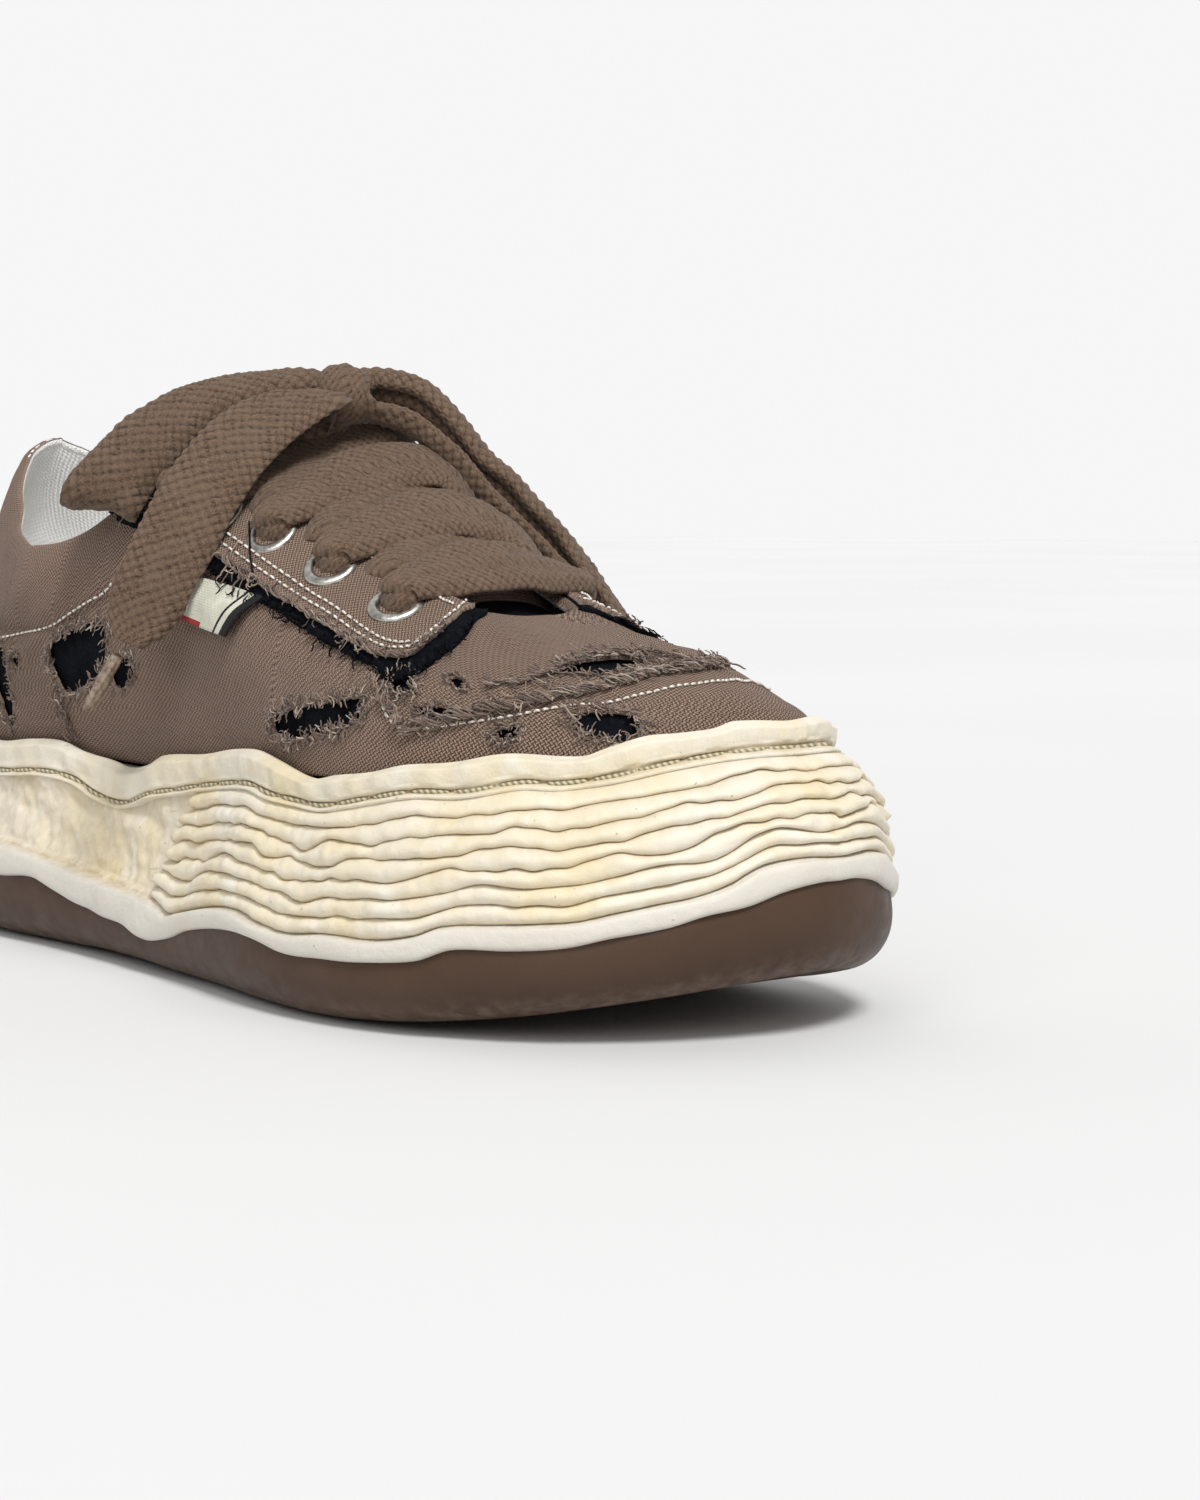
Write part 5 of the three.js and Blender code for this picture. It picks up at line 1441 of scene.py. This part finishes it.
def crease(a, v):
    """How far the canvas swells or sinks from the last, in millimetres."""
    a = np.mod(np.asarray(a) + 1, 2) - 1
    folded = np.abs(a)
    x, y = a * ROUND_MM, v * WALL_MM
    free = smooth(0.0, 0.18, v) * (1 - smooth(0.93, 1.0, v))
    out = 0.45 * field_noise(71, x, y, 34) + 0.16 * field_noise(72, x, y, 12)
    for (a0, v0), (a1, v1), wide, rise in FOLDS:
        (x0, y0), (x1, y1) = flat((a0, v0)), flat((a1, v1))
        dx, dy = x1 - x0, y1 - y0
        for sign in (1, -1):
            t = ((sign * x - x0) * dx + (y - y0) * dy) / (dx * dx + dy * dy)
            away = ((sign * x - x0) * dy - (y - y0) * dx) / math.hypot(dx, dy)
            reach = smooth(-0.25, 0.2, t) * (1 - smooth(0.8, 1.25, t))
            out = out + rise * np.exp(-(away / wide) ** 2) * reach
    padded_collar = 1.9 * smooth(0.58, 0.68, folded) * np.sin(np.pi * np.clip((v - 0.6) / 0.42, 0, 1)) ** 0.8
    sunk_seam = -0.5 * smooth(0.6, 0.66, folded) * np.exp(-((v - 0.6) * WALL_MM / 1.6) ** 2)
    return out * free + padded_collar + sunk_seam


HEEL_LEAN = ((0, 0), (0.77, 0), (0.84, 4.2), (0.9, 7.6), (0.96, 9), (1, 9.2))


def heel_lean(a, v):
    """How far the padded heel collar leans into the opening, in millimetres."""
    folded = np.abs(np.mod(np.asarray(a) + 1, 2) - 1)
    return profile(HEEL_LEAN, folded) * smooth(0.35, 1, v)


def skin(a, v, lift=0.0):
    """Places on the upper lift millimetres over its surface, and the way it faces there."""
    a, v = np.broadcast_arrays(np.asarray(a, float), np.asarray(v, float))
    lift = lift - heel_lean(a, v)
    points, _ = last(a, v)
    normals = wall_normal(a, v)
    return points + normals * (crease(a, v) + lift)[..., None], normals


OFF_GRAIN = math.radians(28)


def thread_map(points):
    """Cloth coordinates in millimetres: real lengths, turned as a cloth cut off the straight grain is."""
    along = np.linalg.norm(np.diff(points, axis=1), axis=2)
    up = np.linalg.norm(np.diff(points, axis=0), axis=2)
    u = np.concatenate([np.zeros((len(points), 1)), np.cumsum(along, 1)], 1)
    u -= u[:, [int(points.shape[1] * 0.3)]]
    v = np.concatenate([np.zeros((1, points.shape[1])), np.cumsum(up, 0)], 0)
    c, s = math.cos(OFF_GRAIN), math.sin(OFF_GRAIN)
    return np.stack([c * u - s * v, s * u + c * v], -1)


def cloth_piece(name, a, v, lift, finish, keep=None, rim=0.0, roll_over=0, curl=0.0, inside=False,
                nodes=(), closed=False):
    """A sheet of cloth on the last between the given shares, trimmed to where keep is above 0."""
    grid_a, grid_v = np.meshgrid(a, v)
    x, y = grid_a * ROUND_MM, grid_v * WALL_MM
    distance = np.full(x.shape, 1e3)
    if keep:
        distance = keep(x, y)
        cell = np.maximum(np.abs(np.gradient(x, axis=1)), 0.5) * 0.75
        near = np.abs(distance) < cell
        gx = (keep(x[near] + 0.1, y[near]) - distance[near]) / 0.1
        gy = (keep(x[near], y[near] + 0.1) - distance[near]) / 0.1
        scale = distance[near] / np.maximum(gx * gx + gy * gy, 0.25)
        x[near] -= gx * scale
        y[near] -= gy * scale
        distance[near] = 0
        grid_a, grid_v = x / ROUND_MM, y / WALL_MM
    lifts = lift + curl * np.exp(-(np.clip(distance, 0, 50) / 1.3) ** 2)
    points, normals = skin(grid_a, np.clip(grid_v, -0.1, 1), lifts)
    if roll_over:
        up = unit(points[-1] - points[-2])
        radius = WALL / 2 + 0.15
        middle = points[-1] - normals[-1] * radius
        for turn in np.linspace(0, roll_over, 7)[1:]:
            row = middle + normals[-1] * radius * math.cos(turn) + up * radius * math.sin(turn)
            points = np.concatenate([points, row[None]])
            normals = np.concatenate([normals, normals[-1:]])
            distance = np.concatenate([distance, distance[-1:]])
    rows, columns = points.shape[:2]
    uv = thread_map(points).reshape(-1, 2)
    faces = grid_faces(rows, columns, closed=closed)
    spread = distance.ravel()
    faces = faces[spread[faces].mean(1) > 1e-4]
    values = {"wear": np.exp(-np.clip(spread, 0, 50) / 1.6)}
    flat_points, flat_normals = points.reshape(-1, 3), normals.reshape(-1, 3)
    if rim:
        half_edges = np.concatenate([faces[:, [k, (k + 1) % 4]] for k in range(4)])
        key = np.sort(half_edges, axis=1)
        _, first, count = np.unique(key[:, 0].astype(np.int64) * (len(spread) + 1) + key[:, 1],
                                    return_index=True, return_counts=True)
        border = half_edges[first[count == 1]]
        used, index = np.unique(border, return_inverse=True)
        index = index.reshape(border.shape)
        base = len(flat_points)
        flat_points = np.concatenate([flat_points, flat_points[used] - flat_normals[used] * rim])
        uv = np.concatenate([uv, uv[used] + 0.3])
        values = {key_: np.concatenate([number, np.ones(len(used))]) for key_, number in values.items()}
        turned = np.stack([border[:, 1], border[:, 0], index[:, 0] + base, index[:, 1] + base], 1)
        faces = np.concatenate([faces, turned])
    if not inside:
        faces = faces[:, ::-1]
    used, index = np.unique(faces, return_inverse=True)
    faces = index.reshape(faces.shape)
    values = {key_: number[used] for key_, number in values.items()}
    return make_piece(name, flat_points[used], faces, finish_of(finish), nodes, uv[used], values)


def canvas_steps(fine=0.9, coarse=2.6):
    """Shares round the shoe for the canvas, closer together where it is torn."""
    marks = ((-0.22, 0.8, fine), (0.8, 1.78, coarse))
    return np.concatenate([np.linspace(low, high, int((high - low) * ROUND_MM / step), endpoint=False)
                           for low, high, step in marks])


class SNEAKER_OT_upper(bpy.types.Operator):
    """Lasts the upper: torn outer canvas with rolled edges, black backing under it, white lining inside"""
    bl_idname = "sneaker.upper"
    bl_label = "Upper"

    def execute(self, context):
        rows = np.linspace(-0.06, 1, 98)
        thick = context.scene.sneaker_sizes.canvas_thickness / MM
        cloth_piece("canvas_upper", canvas_steps(), rows, 0.0, "canvas", keep=outside_holes, rim=thick,
                    roll_over=1.5, curl=0.35, nodes=("upper",), closed=True)
        coarse = np.linspace(0, 2, 240, endpoint=False)
        cloth_piece("backing", coarse, np.linspace(-0.08, 0.985, 30), -1.2, "felt", closed=True)
        cloth_piece("inner_lining", coarse, np.linspace(-0.08, 1, 34), -WALL - 0.1, "lining", inside=True,
                    closed=True)
        self.collar_lip()
        return {"FINISHED"}

    def collar_lip(self):
        """The lining's roll, from the crest of the top edge down to the inside."""
        a = np.linspace(0, 2, 420, endpoint=False)
        top, normals = skin(a, np.ones_like(a), 0)
        below, _ = skin(a, np.full_like(a, 0.985), 0)
        up = unit(top - below)
        radius = WALL / 2 + 0.15
        middle = top - normals * radius
        points = np.array([middle + normals * radius * math.cos(t) + up * radius * math.sin(t)
                           for t in np.linspace(1.45, math.pi + 0.3, 9)])
        faces = grid_faces(*points.shape[:2], closed=True)[:, ::-1]
        make_piece("lining_roll", points, faces, finish_of("lining"), uv=thread_map(points))


class SNEAKER_OT_panels(bpy.types.Operator):
    """Lays the eyelet panels on both facings over their strips of black felt"""
    bl_idname = "sneaker.panels"
    bl_label = "Eyelet Panels"

    def execute(self, context):
        for side, flip in (("lateral", False), ("medial", True)):
            for name, places, lift, finish, rim, seed, rough in (
                ("felt_strip", FELT, 0.75, "felt", 0.9, 81, 0.45),
                ("eyelet_panel", PANEL, 1.65, "canvas", 1.1, 82, 0.18),
            ):
                edge = ragged(mirrored(places) if flip else places, seed, rough)
                low, high = edge[:, 0].min() / ROUND_MM - 0.004, edge[:, 0].max() / ROUND_MM + 0.004
                a = np.linspace(low, high, 210 if not flip else 130)
                cloth_piece(f"{name}_{side}", a, np.linspace(0.34, 1, 84 if not flip else 56), lift, finish,
                            keep=lambda x, y, edge=edge: -signed_distance(x, y, edge), rim=rim, curl=0.3)
        return {"FINISHED"}


def inner_line(places, inset, sign=1):
    """The outline's line moved inside it by inset millimetres, on the flat map."""
    line = catmull(flat(places), 10)
    along = unit(np.gradient(line, axis=0))
    return line + sign * inset * np.stack([-along[:, 1], along[:, 0]], 1)


def stitch_lines(line, lift, pitch, fill=0.68, zig=0.0):
    """Short raised stitches along a line on the flat map."""
    spots, _ = respace(np.concatenate([line, np.zeros((len(line), 1))], 1), pitch)
    out = []
    for k in range(len(spots) - 1):
        t = np.linspace(0.5 - fill / 2, 0.5 + fill / 2, 6)[:, None]
        part = spots[k, :2] + (spots[k + 1, :2] - spots[k, :2]) * t
        along = unit(spots[k + 1, :2] - spots[k, :2])
        part = part + np.array([-along[1], along[0]]) * zig * (t - 0.5) * (1 if k % 2 else -1)
        height = lift + 0.28 * np.sin(np.pi * (t[:, 0] - 0.5 + fill / 2) / fill) - 0.12
        out.append(np.concatenate([part, height[:, None]], 1))
    return out


def lay_on_skin(strands):
    """Strands as (x, y on the flat map, lift) turned into places on the shoe, all in one go."""
    sizes = [len(s) for s in strands]
    every = np.concatenate(strands)
    lift = every[:, 2]
    points, _ = skin(every[:, 0] / ROUND_MM, np.clip(every[:, 1] / WALL_MM, -0.05, 1), lift)
    return np.split(points, np.cumsum(sizes)[:-1])


class SNEAKER_OT_stitches(bpy.types.Operator):
    """Sews the white stitch rows of the panels, the toe seam and the collar"""
    bl_idname = "sneaker.stitches"
    bl_label = "Stitches"

    def execute(self, context):
        pitch = context.scene.sneaker_sizes.stitch_length / MM
        over = 1.95
        strands = []
        for flip in (False, True):
            side = mirrored if flip else (lambda places: places)
            sign = 1 if flip else -1
            low = side(PANEL[4:15])
            strands += stitch_lines(inner_line(low, 2.4, -sign), over, pitch)
            strands += stitch_lines(inner_line(low, 4.6, -sign), over, pitch)
            strands += stitch_lines(inner_line(side(PANEL[0:5]), 2.2, -sign), over, pitch, zig=1.1)
            strands += stitch_lines(inner_line(side(EYELET_ROW), 0, 1), over, pitch)
            strands += stitch_lines(inner_line(side(COLLAR_SEAM), 0, 1), 0.3, pitch)
        strands += stitch_lines(inner_line(TOE_SEAM, 0, 1), 0.3, pitch * 0.95)
        points, faces, _ = tube_mesh(lay_on_skin(strands), 0.3, sides=5, taper=0.55)
        make_piece("stitch_rows", points, faces, finish_of("white_thread"))
        hang = catmull([(*flat(place), lift) for *place, lift in LOOSE_THREAD], 5)
        points, faces, _ = tube_mesh(lay_on_skin([hang]), 0.22, sides=6, taper=0.7)
        make_piece("loose_black_thread", points, faces, finish_of("felt"))
        return {"FINISHED"}


def stray(rng, start, heading, length, lift, curl, points=7):
    """One loose yarn on the flat map that wanders, crimps and lifts."""
    out = [np.array([start[0], start[1], lift])]
    turn = heading
    step = length / (points - 1)
    bias = rng.uniform(-curl, curl)
    for _ in range(points - 1):
        turn += bias + rng.uniform(-curl, curl) * 0.7
        rise = rng.uniform(-0.15, 0.28)
        out.append(out[-1] + (step * math.cos(turn), step * math.sin(turn), rise))
    line = np.array(out)
    line[:, 2] = np.clip(line[:, 2], 0.15, 3.2)
    return line


def fringe(rng, line, per_mm, length, spread=(0, 1.1), lift=0.25, inwards=0.16):
    """Frayed yarn ends along a closed outline on the flat map."""
    strands = []
    closed_line = np.concatenate([line, line[:1]])
    middle = line.mean(0)
    for p, q in zip(closed_line[:-1], closed_line[1:]):
        gap = np.linalg.norm(q - p)
        along = (q - p) / max(gap, 1e-6)
        away = unit(p - middle)
        for _ in range(rng.poisson(gap * per_mm)):
            spot = p + (q - p) * rng.uniform() + away * rng.uniform(*spread)
            base = math.atan2(along[1], along[0]) + (math.pi if rng.uniform() < 0.5 else 0)
            crossing = rng.uniform() < inwards
            aim = math.atan2(-away[1], -away[0]) if crossing else base
            reach = rng.uniform(0.25, 0.5) if crossing else rng.uniform(0.6, 1.2)
            strands.append(stray(rng, spot, aim + rng.normal(0, 0.3), reach * length,
                                 lift + rng.uniform(0, 0.35), 0.42, 9))
    return strands


def rope(rng, places, count, radius, lift, stray_share=1.1):
    """Yarns ravelled out of a torn edge, wound loosely about each other, with stray ends."""
    path = catmull(flat(places), 10)
    line, gone = respace(np.concatenate([path, np.zeros((len(path), 1))], 1), 0.8)
    line = line[:, :2]
    along = unit(np.gradient(line, axis=0))
    across = np.stack([-along[:, 1], along[:, 0]], 1)
    body = radius * (0.7 + 0.45 * np.abs(sweep_noise(int(rng.randint(1e6)), gone, 9)))
    strands = []
    for _ in range(count):
        start = 0
        while start < len(line) - 6:
            size = int(rng.uniform(12, 40))
            part = slice(start, min(len(line), start + size))
            phase, pace = rng.uniform(0, 6.28), rng.uniform(3.5, 8)
            wave = phase + gone[part] / pace * 2 * np.pi / 2
            off = body[part] * np.sin(wave) * rng.uniform(0.5, 1.15) + 0.12 * np.sin(gone[part] * 5 + phase)
            up = lift + body[part] * 0.55 * (1 + np.cos(wave)) + 0.1 * np.sin(gone[part] * 6 + phase)
            strands.append(np.concatenate([line[part] + across[part] * off[:, None], up[:, None]], 1))
            start += int(size * rng.uniform(0.7, 1.05))
    for _ in range(int(gone[-1] * stray_share)):
        i = rng.randint(0, len(line))
        side = rng.choice((-1, 1))
        aim = math.atan2(across[i][1] * side, across[i][0] * side) + rng.normal(0, 0.9)
        strands.append(stray(rng, line[i] + across[i] * side * body[i] * 0.6, aim, rng.uniform(1.5, 4.5),
                             lift + rng.uniform(0.2, 1.4), 0.6))
    return strands


class SNEAKER_OT_frays(bpy.types.Operator):
    """Ravels the torn edges: fringes round the holes and wound yarns along the toe seam"""
    bl_idname = "sneaker.frays"
    bl_label = "Frayed Edges"

    def execute(self, context):
        rng = np.random.RandomState(7)
        strands, dark = [], []
        for name, line in HOLE_LINES.items():
            thickness, length = FRAYS[name]
            strands += fringe(rng, line, thickness * 0.34, length * 0.85)
        for places, count, radius, lift in zip(ROPES, (11, 7, 8), (1.5, 1.0, 1.5), (0.5, 0.4, 0.5)):
            strands += rope(rng, places, count, radius, lift)
        strands += rope(rng, QUARTER_SEAM, 5, 1.3, 0.4)
        for flip in (False, True):
            places = mirrored(PANEL[2:15]) if flip else PANEL[2:15]
            strands += rope(rng, places, 3 if flip else 9, 0.75, 1.45, 1.2)
            places = mirrored(FELT[1:13]) if flip else FELT[1:13]
            dark += rope(rng, places, 4, 0.7, 0.5, 0.9)
        for k, place in enumerate(((0.145, 0.10), (0.15, 0.13), (0.155, 0.09))):
            strands.append(stray(rng, flat(place), -0.4 + 0.5 * k, 7, 0.8, 0.3, 9))
        tone = rng.uniform(0.05, 1, len(strands)) ** 1.1
        self.yarns("ravelled_yarns", strands, tone, rng)
        self.yarns("felt_lint", dark, np.full(len(dark), -1.0), rng, finish="felt", size=(0.12, 0.22))
        return {"FINISHED"}

    def yarns(self, name, strands, tone, rng, finish="yarn", size=(0.12, 0.25)):
        """Joins the strands, laid on the shoe, into one piece of thin yarns."""
        lines = lay_on_skin(strands)
        radius = rng.uniform(*size, len(lines))
        points, faces, which = tube_mesh(lines, radius, sides=3, taper=0.4)
        make_piece(name, points, faces, finish_of(finish), values={"tone": tone[which.astype(int)]})


class SNEAKER_OT_tag(bpy.types.Operator):
    """Sews the folded side tag, bare of any lettering, under the panel's edge"""
    bl_idname = "sneaker.tag"
    bl_label = "Side Tag"

    def execute(self, context):
        top_left, top_right, low_right, low_left = (flat(p) for p in TAG)
        u, t = np.meshgrid(np.linspace(0, 1, 40), np.linspace(0, 1, 20))
        spots = ((1 - t)[..., None] * ((1 - u)[..., None] * top_left + u[..., None] * top_right)
                 + t[..., None] * ((1 - u)[..., None] * low_left + u[..., None] * low_right))
        lift = 1.2 + 1.5 * smooth(0, 0.6, t) + 0.35 * np.sin(np.pi * u * 1.3)
        lift += 0.8 * smooth(0.85, 1, u) * (1 - t)
        points, normals = skin(spots[..., 0] / ROUND_MM, spots[..., 1] / WALL_MM, lift)
        uv = np.stack([19 * u, 9.6 * (1 - t)], -1)
        under = points - normals * 0.7
        size = u.size
        rows, columns = u.shape
        faces = grid_faces(rows, columns).tolist()
        faces += (grid_faces(rows, columns) + size)[:, ::-1].tolist()
        border = [*range(columns), *(r * columns + columns - 1 for r in range(1, rows)),
                  *((rows - 1) * columns + c for c in range(columns - 2, -1, -1)),
                  *(r * columns for r in range(rows - 2, 0, -1))]
        for p, q in zip(border, border[1:] + border[:1]):
            faces.append([q, p, p + size, q + size])
        places = np.concatenate([points.reshape(-1, 3), under.reshape(-1, 3)])
        make_piece("side_tag", places, faces, finish_of("tag"),
                   uv=np.concatenate([uv.reshape(-1, 2)] * 2))
        return {"FINISHED"}


TONGUE_SECTIONS = (  # x, crown height, half width, drop at the edge
    (92, 66, 20, 4), (80, 71.5, 24, 6), (70, 76.5, 27, 8), (56, 83.5, 29, 9), (38, 92, 30, 10),
    (20, 99.5, 30, 10.5), (3, 106, 28, 10), (-13, 112, 24.5, 9), (-26, 118, 20.5, 7), (-36, 123, 19, 6),
)


TEAR_PLACE, TEAR_HALF = np.array((13.0, 21.0)), (4.6, 1.7)  # x and y, then half its length and width


class SNEAKER_OT_tongue(bpy.types.Operator):
    """Pads the tongue under the laces, with a rolled edge all round"""
    bl_idname = "sneaker.tongue"
    bl_label = "Tongue"

    def execute(self, context):
        self.body("padded_tongue", -40, 60, "canvas", ("tongue",), "canvas")
        # The tongue's front, down in the throat, is black felt: painted shade of the throat's cavity.
        self.body("tongue_root_painted_shade", 59, 95, "felt")
        self.tear()
        return {"FINISHED"}

    def tear(self):
        """A worn slit on the tongue's medial side, black inside, with ravelled lips."""
        rng = np.random.RandomState(19)
        turn = np.linspace(0, 2 * np.pi, 40, endpoint=False)
        reach = np.linspace(0, 1, 8)[:, None]
        swerve = 1 + 0.12 * np.sin(3 * turn + 1) + 0.06 * np.sin(7 * turn)
        along, across = np.array((-0.25, 0.97)), np.array((0.97, 0.25))
        plan = (TEAR_PLACE + (TEAR_HALF[0] * np.cos(turn) * swerve)[:, None] * along
                + (TEAR_HALF[1] * np.sin(turn) * swerve)[:, None] * across)
        spots = TEAR_PLACE + (plan - TEAR_PLACE)[None] * reach[..., None]
        z = self.top(spots[..., 0], spots[..., 1]) + 0.35 * (1 - reach ** 2)
        points = np.concatenate([spots, z[..., None]], -1)
        make_piece("tongue_tear", points, grid_faces(8, 40, closed=True), finish_of("felt"))
        lines = []
        for _ in range(110):
            k = rng.randint(40)
            start = plan[k] + (plan[k] - TEAR_PLACE) * rng.uniform(0, 0.3)
            heading = turn[k] + rng.choice((-1.5, 1.5)) + rng.normal(0, 0.5)
            strand = stray(rng, start, heading, rng.uniform(1.5, 4), 0.2, 0.5, 8)
            strand[:, 2] = self.top(strand[:, 0], strand[:, 1]) + np.clip(strand[:, 2], 0, 0.9)
            lines.append(strand)
        points, faces, which = tube_mesh(lines, rng.uniform(0.12, 0.24, len(lines)), sides=4, taper=0.4)
        tone = rng.uniform(0.1, 0.9, len(lines))
        make_piece("tongue_ravel", points, faces, finish_of("yarn"), values={"tone": tone[which.astype(int)]})

    def top(self, x, y):
        """Height of the tongue's upper face."""
        at = np.array(TONGUE_SECTIONS[::-1], float).T
        crown, half, drop = (np.interp(x, at[0], at[k]) for k in (1, 2, 3))
        share = y / half
        return crown + profile(TONGUE_RISE, x) * puff(y) * (1 - share ** 6) - drop * share ** 2 + 0.35

    def body(self, name, low, high, finish, nodes=(), slot=None):
        """A padded stretch of the tongue between two places along the shoe."""
        sections = catmull(TONGUE_SECTIONS, 9)
        sections = sections[(sections[:, 0] > low) & (sections[:, 0] < high)]
        x, crown, half, drop = sections.T
        rise = profile(TONGUE_RISE, x)
        crown = crown - 5 * smooth(60, 80, x)
        around = np.linspace(0, 2 * np.pi, 120, endpoint=False)
        c, s = np.cos(around), np.sin(around)
        share = np.sign(c) * np.abs(c) ** 0.75
        thick = 1.9 * np.sign(s) * np.abs(s) ** 0.6
        y = half[:, None] * share
        swell = 0.35 * field_noise(91, x[:, None], y, 16) + 0.5 * np.cos(np.pi * share) * (thick > 0)
        edge = 1 - 0.35 * share ** 4
        bulge = rise[:, None] * puff(y) * (1 - share ** 6)
        z = crown[:, None] - 1.9 + bulge - drop[:, None] * share ** 2 + (thick * edge) + swell * (s > 0)
        points = np.stack([np.broadcast_to(x[:, None], y.shape) - 0.3 * thick, y, z], -1)
        faces = grid_faces(len(x), len(c), closed=True).tolist()
        faces.append(list(range(len(c)))[::-1])
        faces.append(list(range((len(x) - 1) * len(c), len(x) * len(c))))
        uv = np.stack([np.cumsum(np.ones_like(y), 0) * 1.4, y], -1)
        make_piece(name, points, faces, finish_of(finish), nodes, uv=uv,
                   values={"wear": 0.15 * np.ones(y.size)})


# ---- The sidebar panel, registration and the run ----
STEPS = (SNEAKER_OT_stage, SNEAKER_OT_bow, SNEAKER_OT_laces, SNEAKER_OT_eyelets, SNEAKER_OT_midsole,
         SNEAKER_OT_outsole, SNEAKER_OT_insole, SNEAKER_OT_upper, SNEAKER_OT_panels, SNEAKER_OT_stitches,
         SNEAKER_OT_frays, SNEAKER_OT_tag, SNEAKER_OT_tongue)


class VIEW3D_PT_sneaker(bpy.types.Panel):
    """Lists the sneaker's pieces with their sizes and colours"""
    bl_idname = "VIEW3D_PT_sneaker"
    bl_label = "Sneaker"
    bl_space_type = "VIEW_3D"
    bl_region_type = "UI"
    bl_category = "Sneaker"

    def draw(self, context):
        for settings in (context.scene.sneaker_sizes, context.scene.sneaker_colours):
            for key in settings.__annotations__:
                self.layout.prop(settings, key)
        for step in STEPS:
            self.layout.operator(step.bl_idname)


CLASSES = (SneakerSizes, SneakerColours, *STEPS, VIEW3D_PT_sneaker)


def register():
    """Registers the classes and adds the settings to the scene."""
    for each in CLASSES:
        bpy.utils.register_class(each)
    bpy.types.Scene.sneaker_sizes = PointerProperty(type=SneakerSizes)
    bpy.types.Scene.sneaker_colours = PointerProperty(type=SneakerColours)


def unregister():
    """Removes the settings and the classes."""
    del bpy.types.Scene.sneaker_sizes
    del bpy.types.Scene.sneaker_colours
    for each in reversed(CLASSES):
        bpy.utils.unregister_class(each)


def main():
    """Builds the pieces in order."""
    register()
    bpy.ops.object.select_all(action="DESELECT")
    for step in STEPS:
        name = step.bl_idname.split(".")[1]
        getattr(bpy.ops.sneaker, name)()


if __name__ == "__main__":
    main()
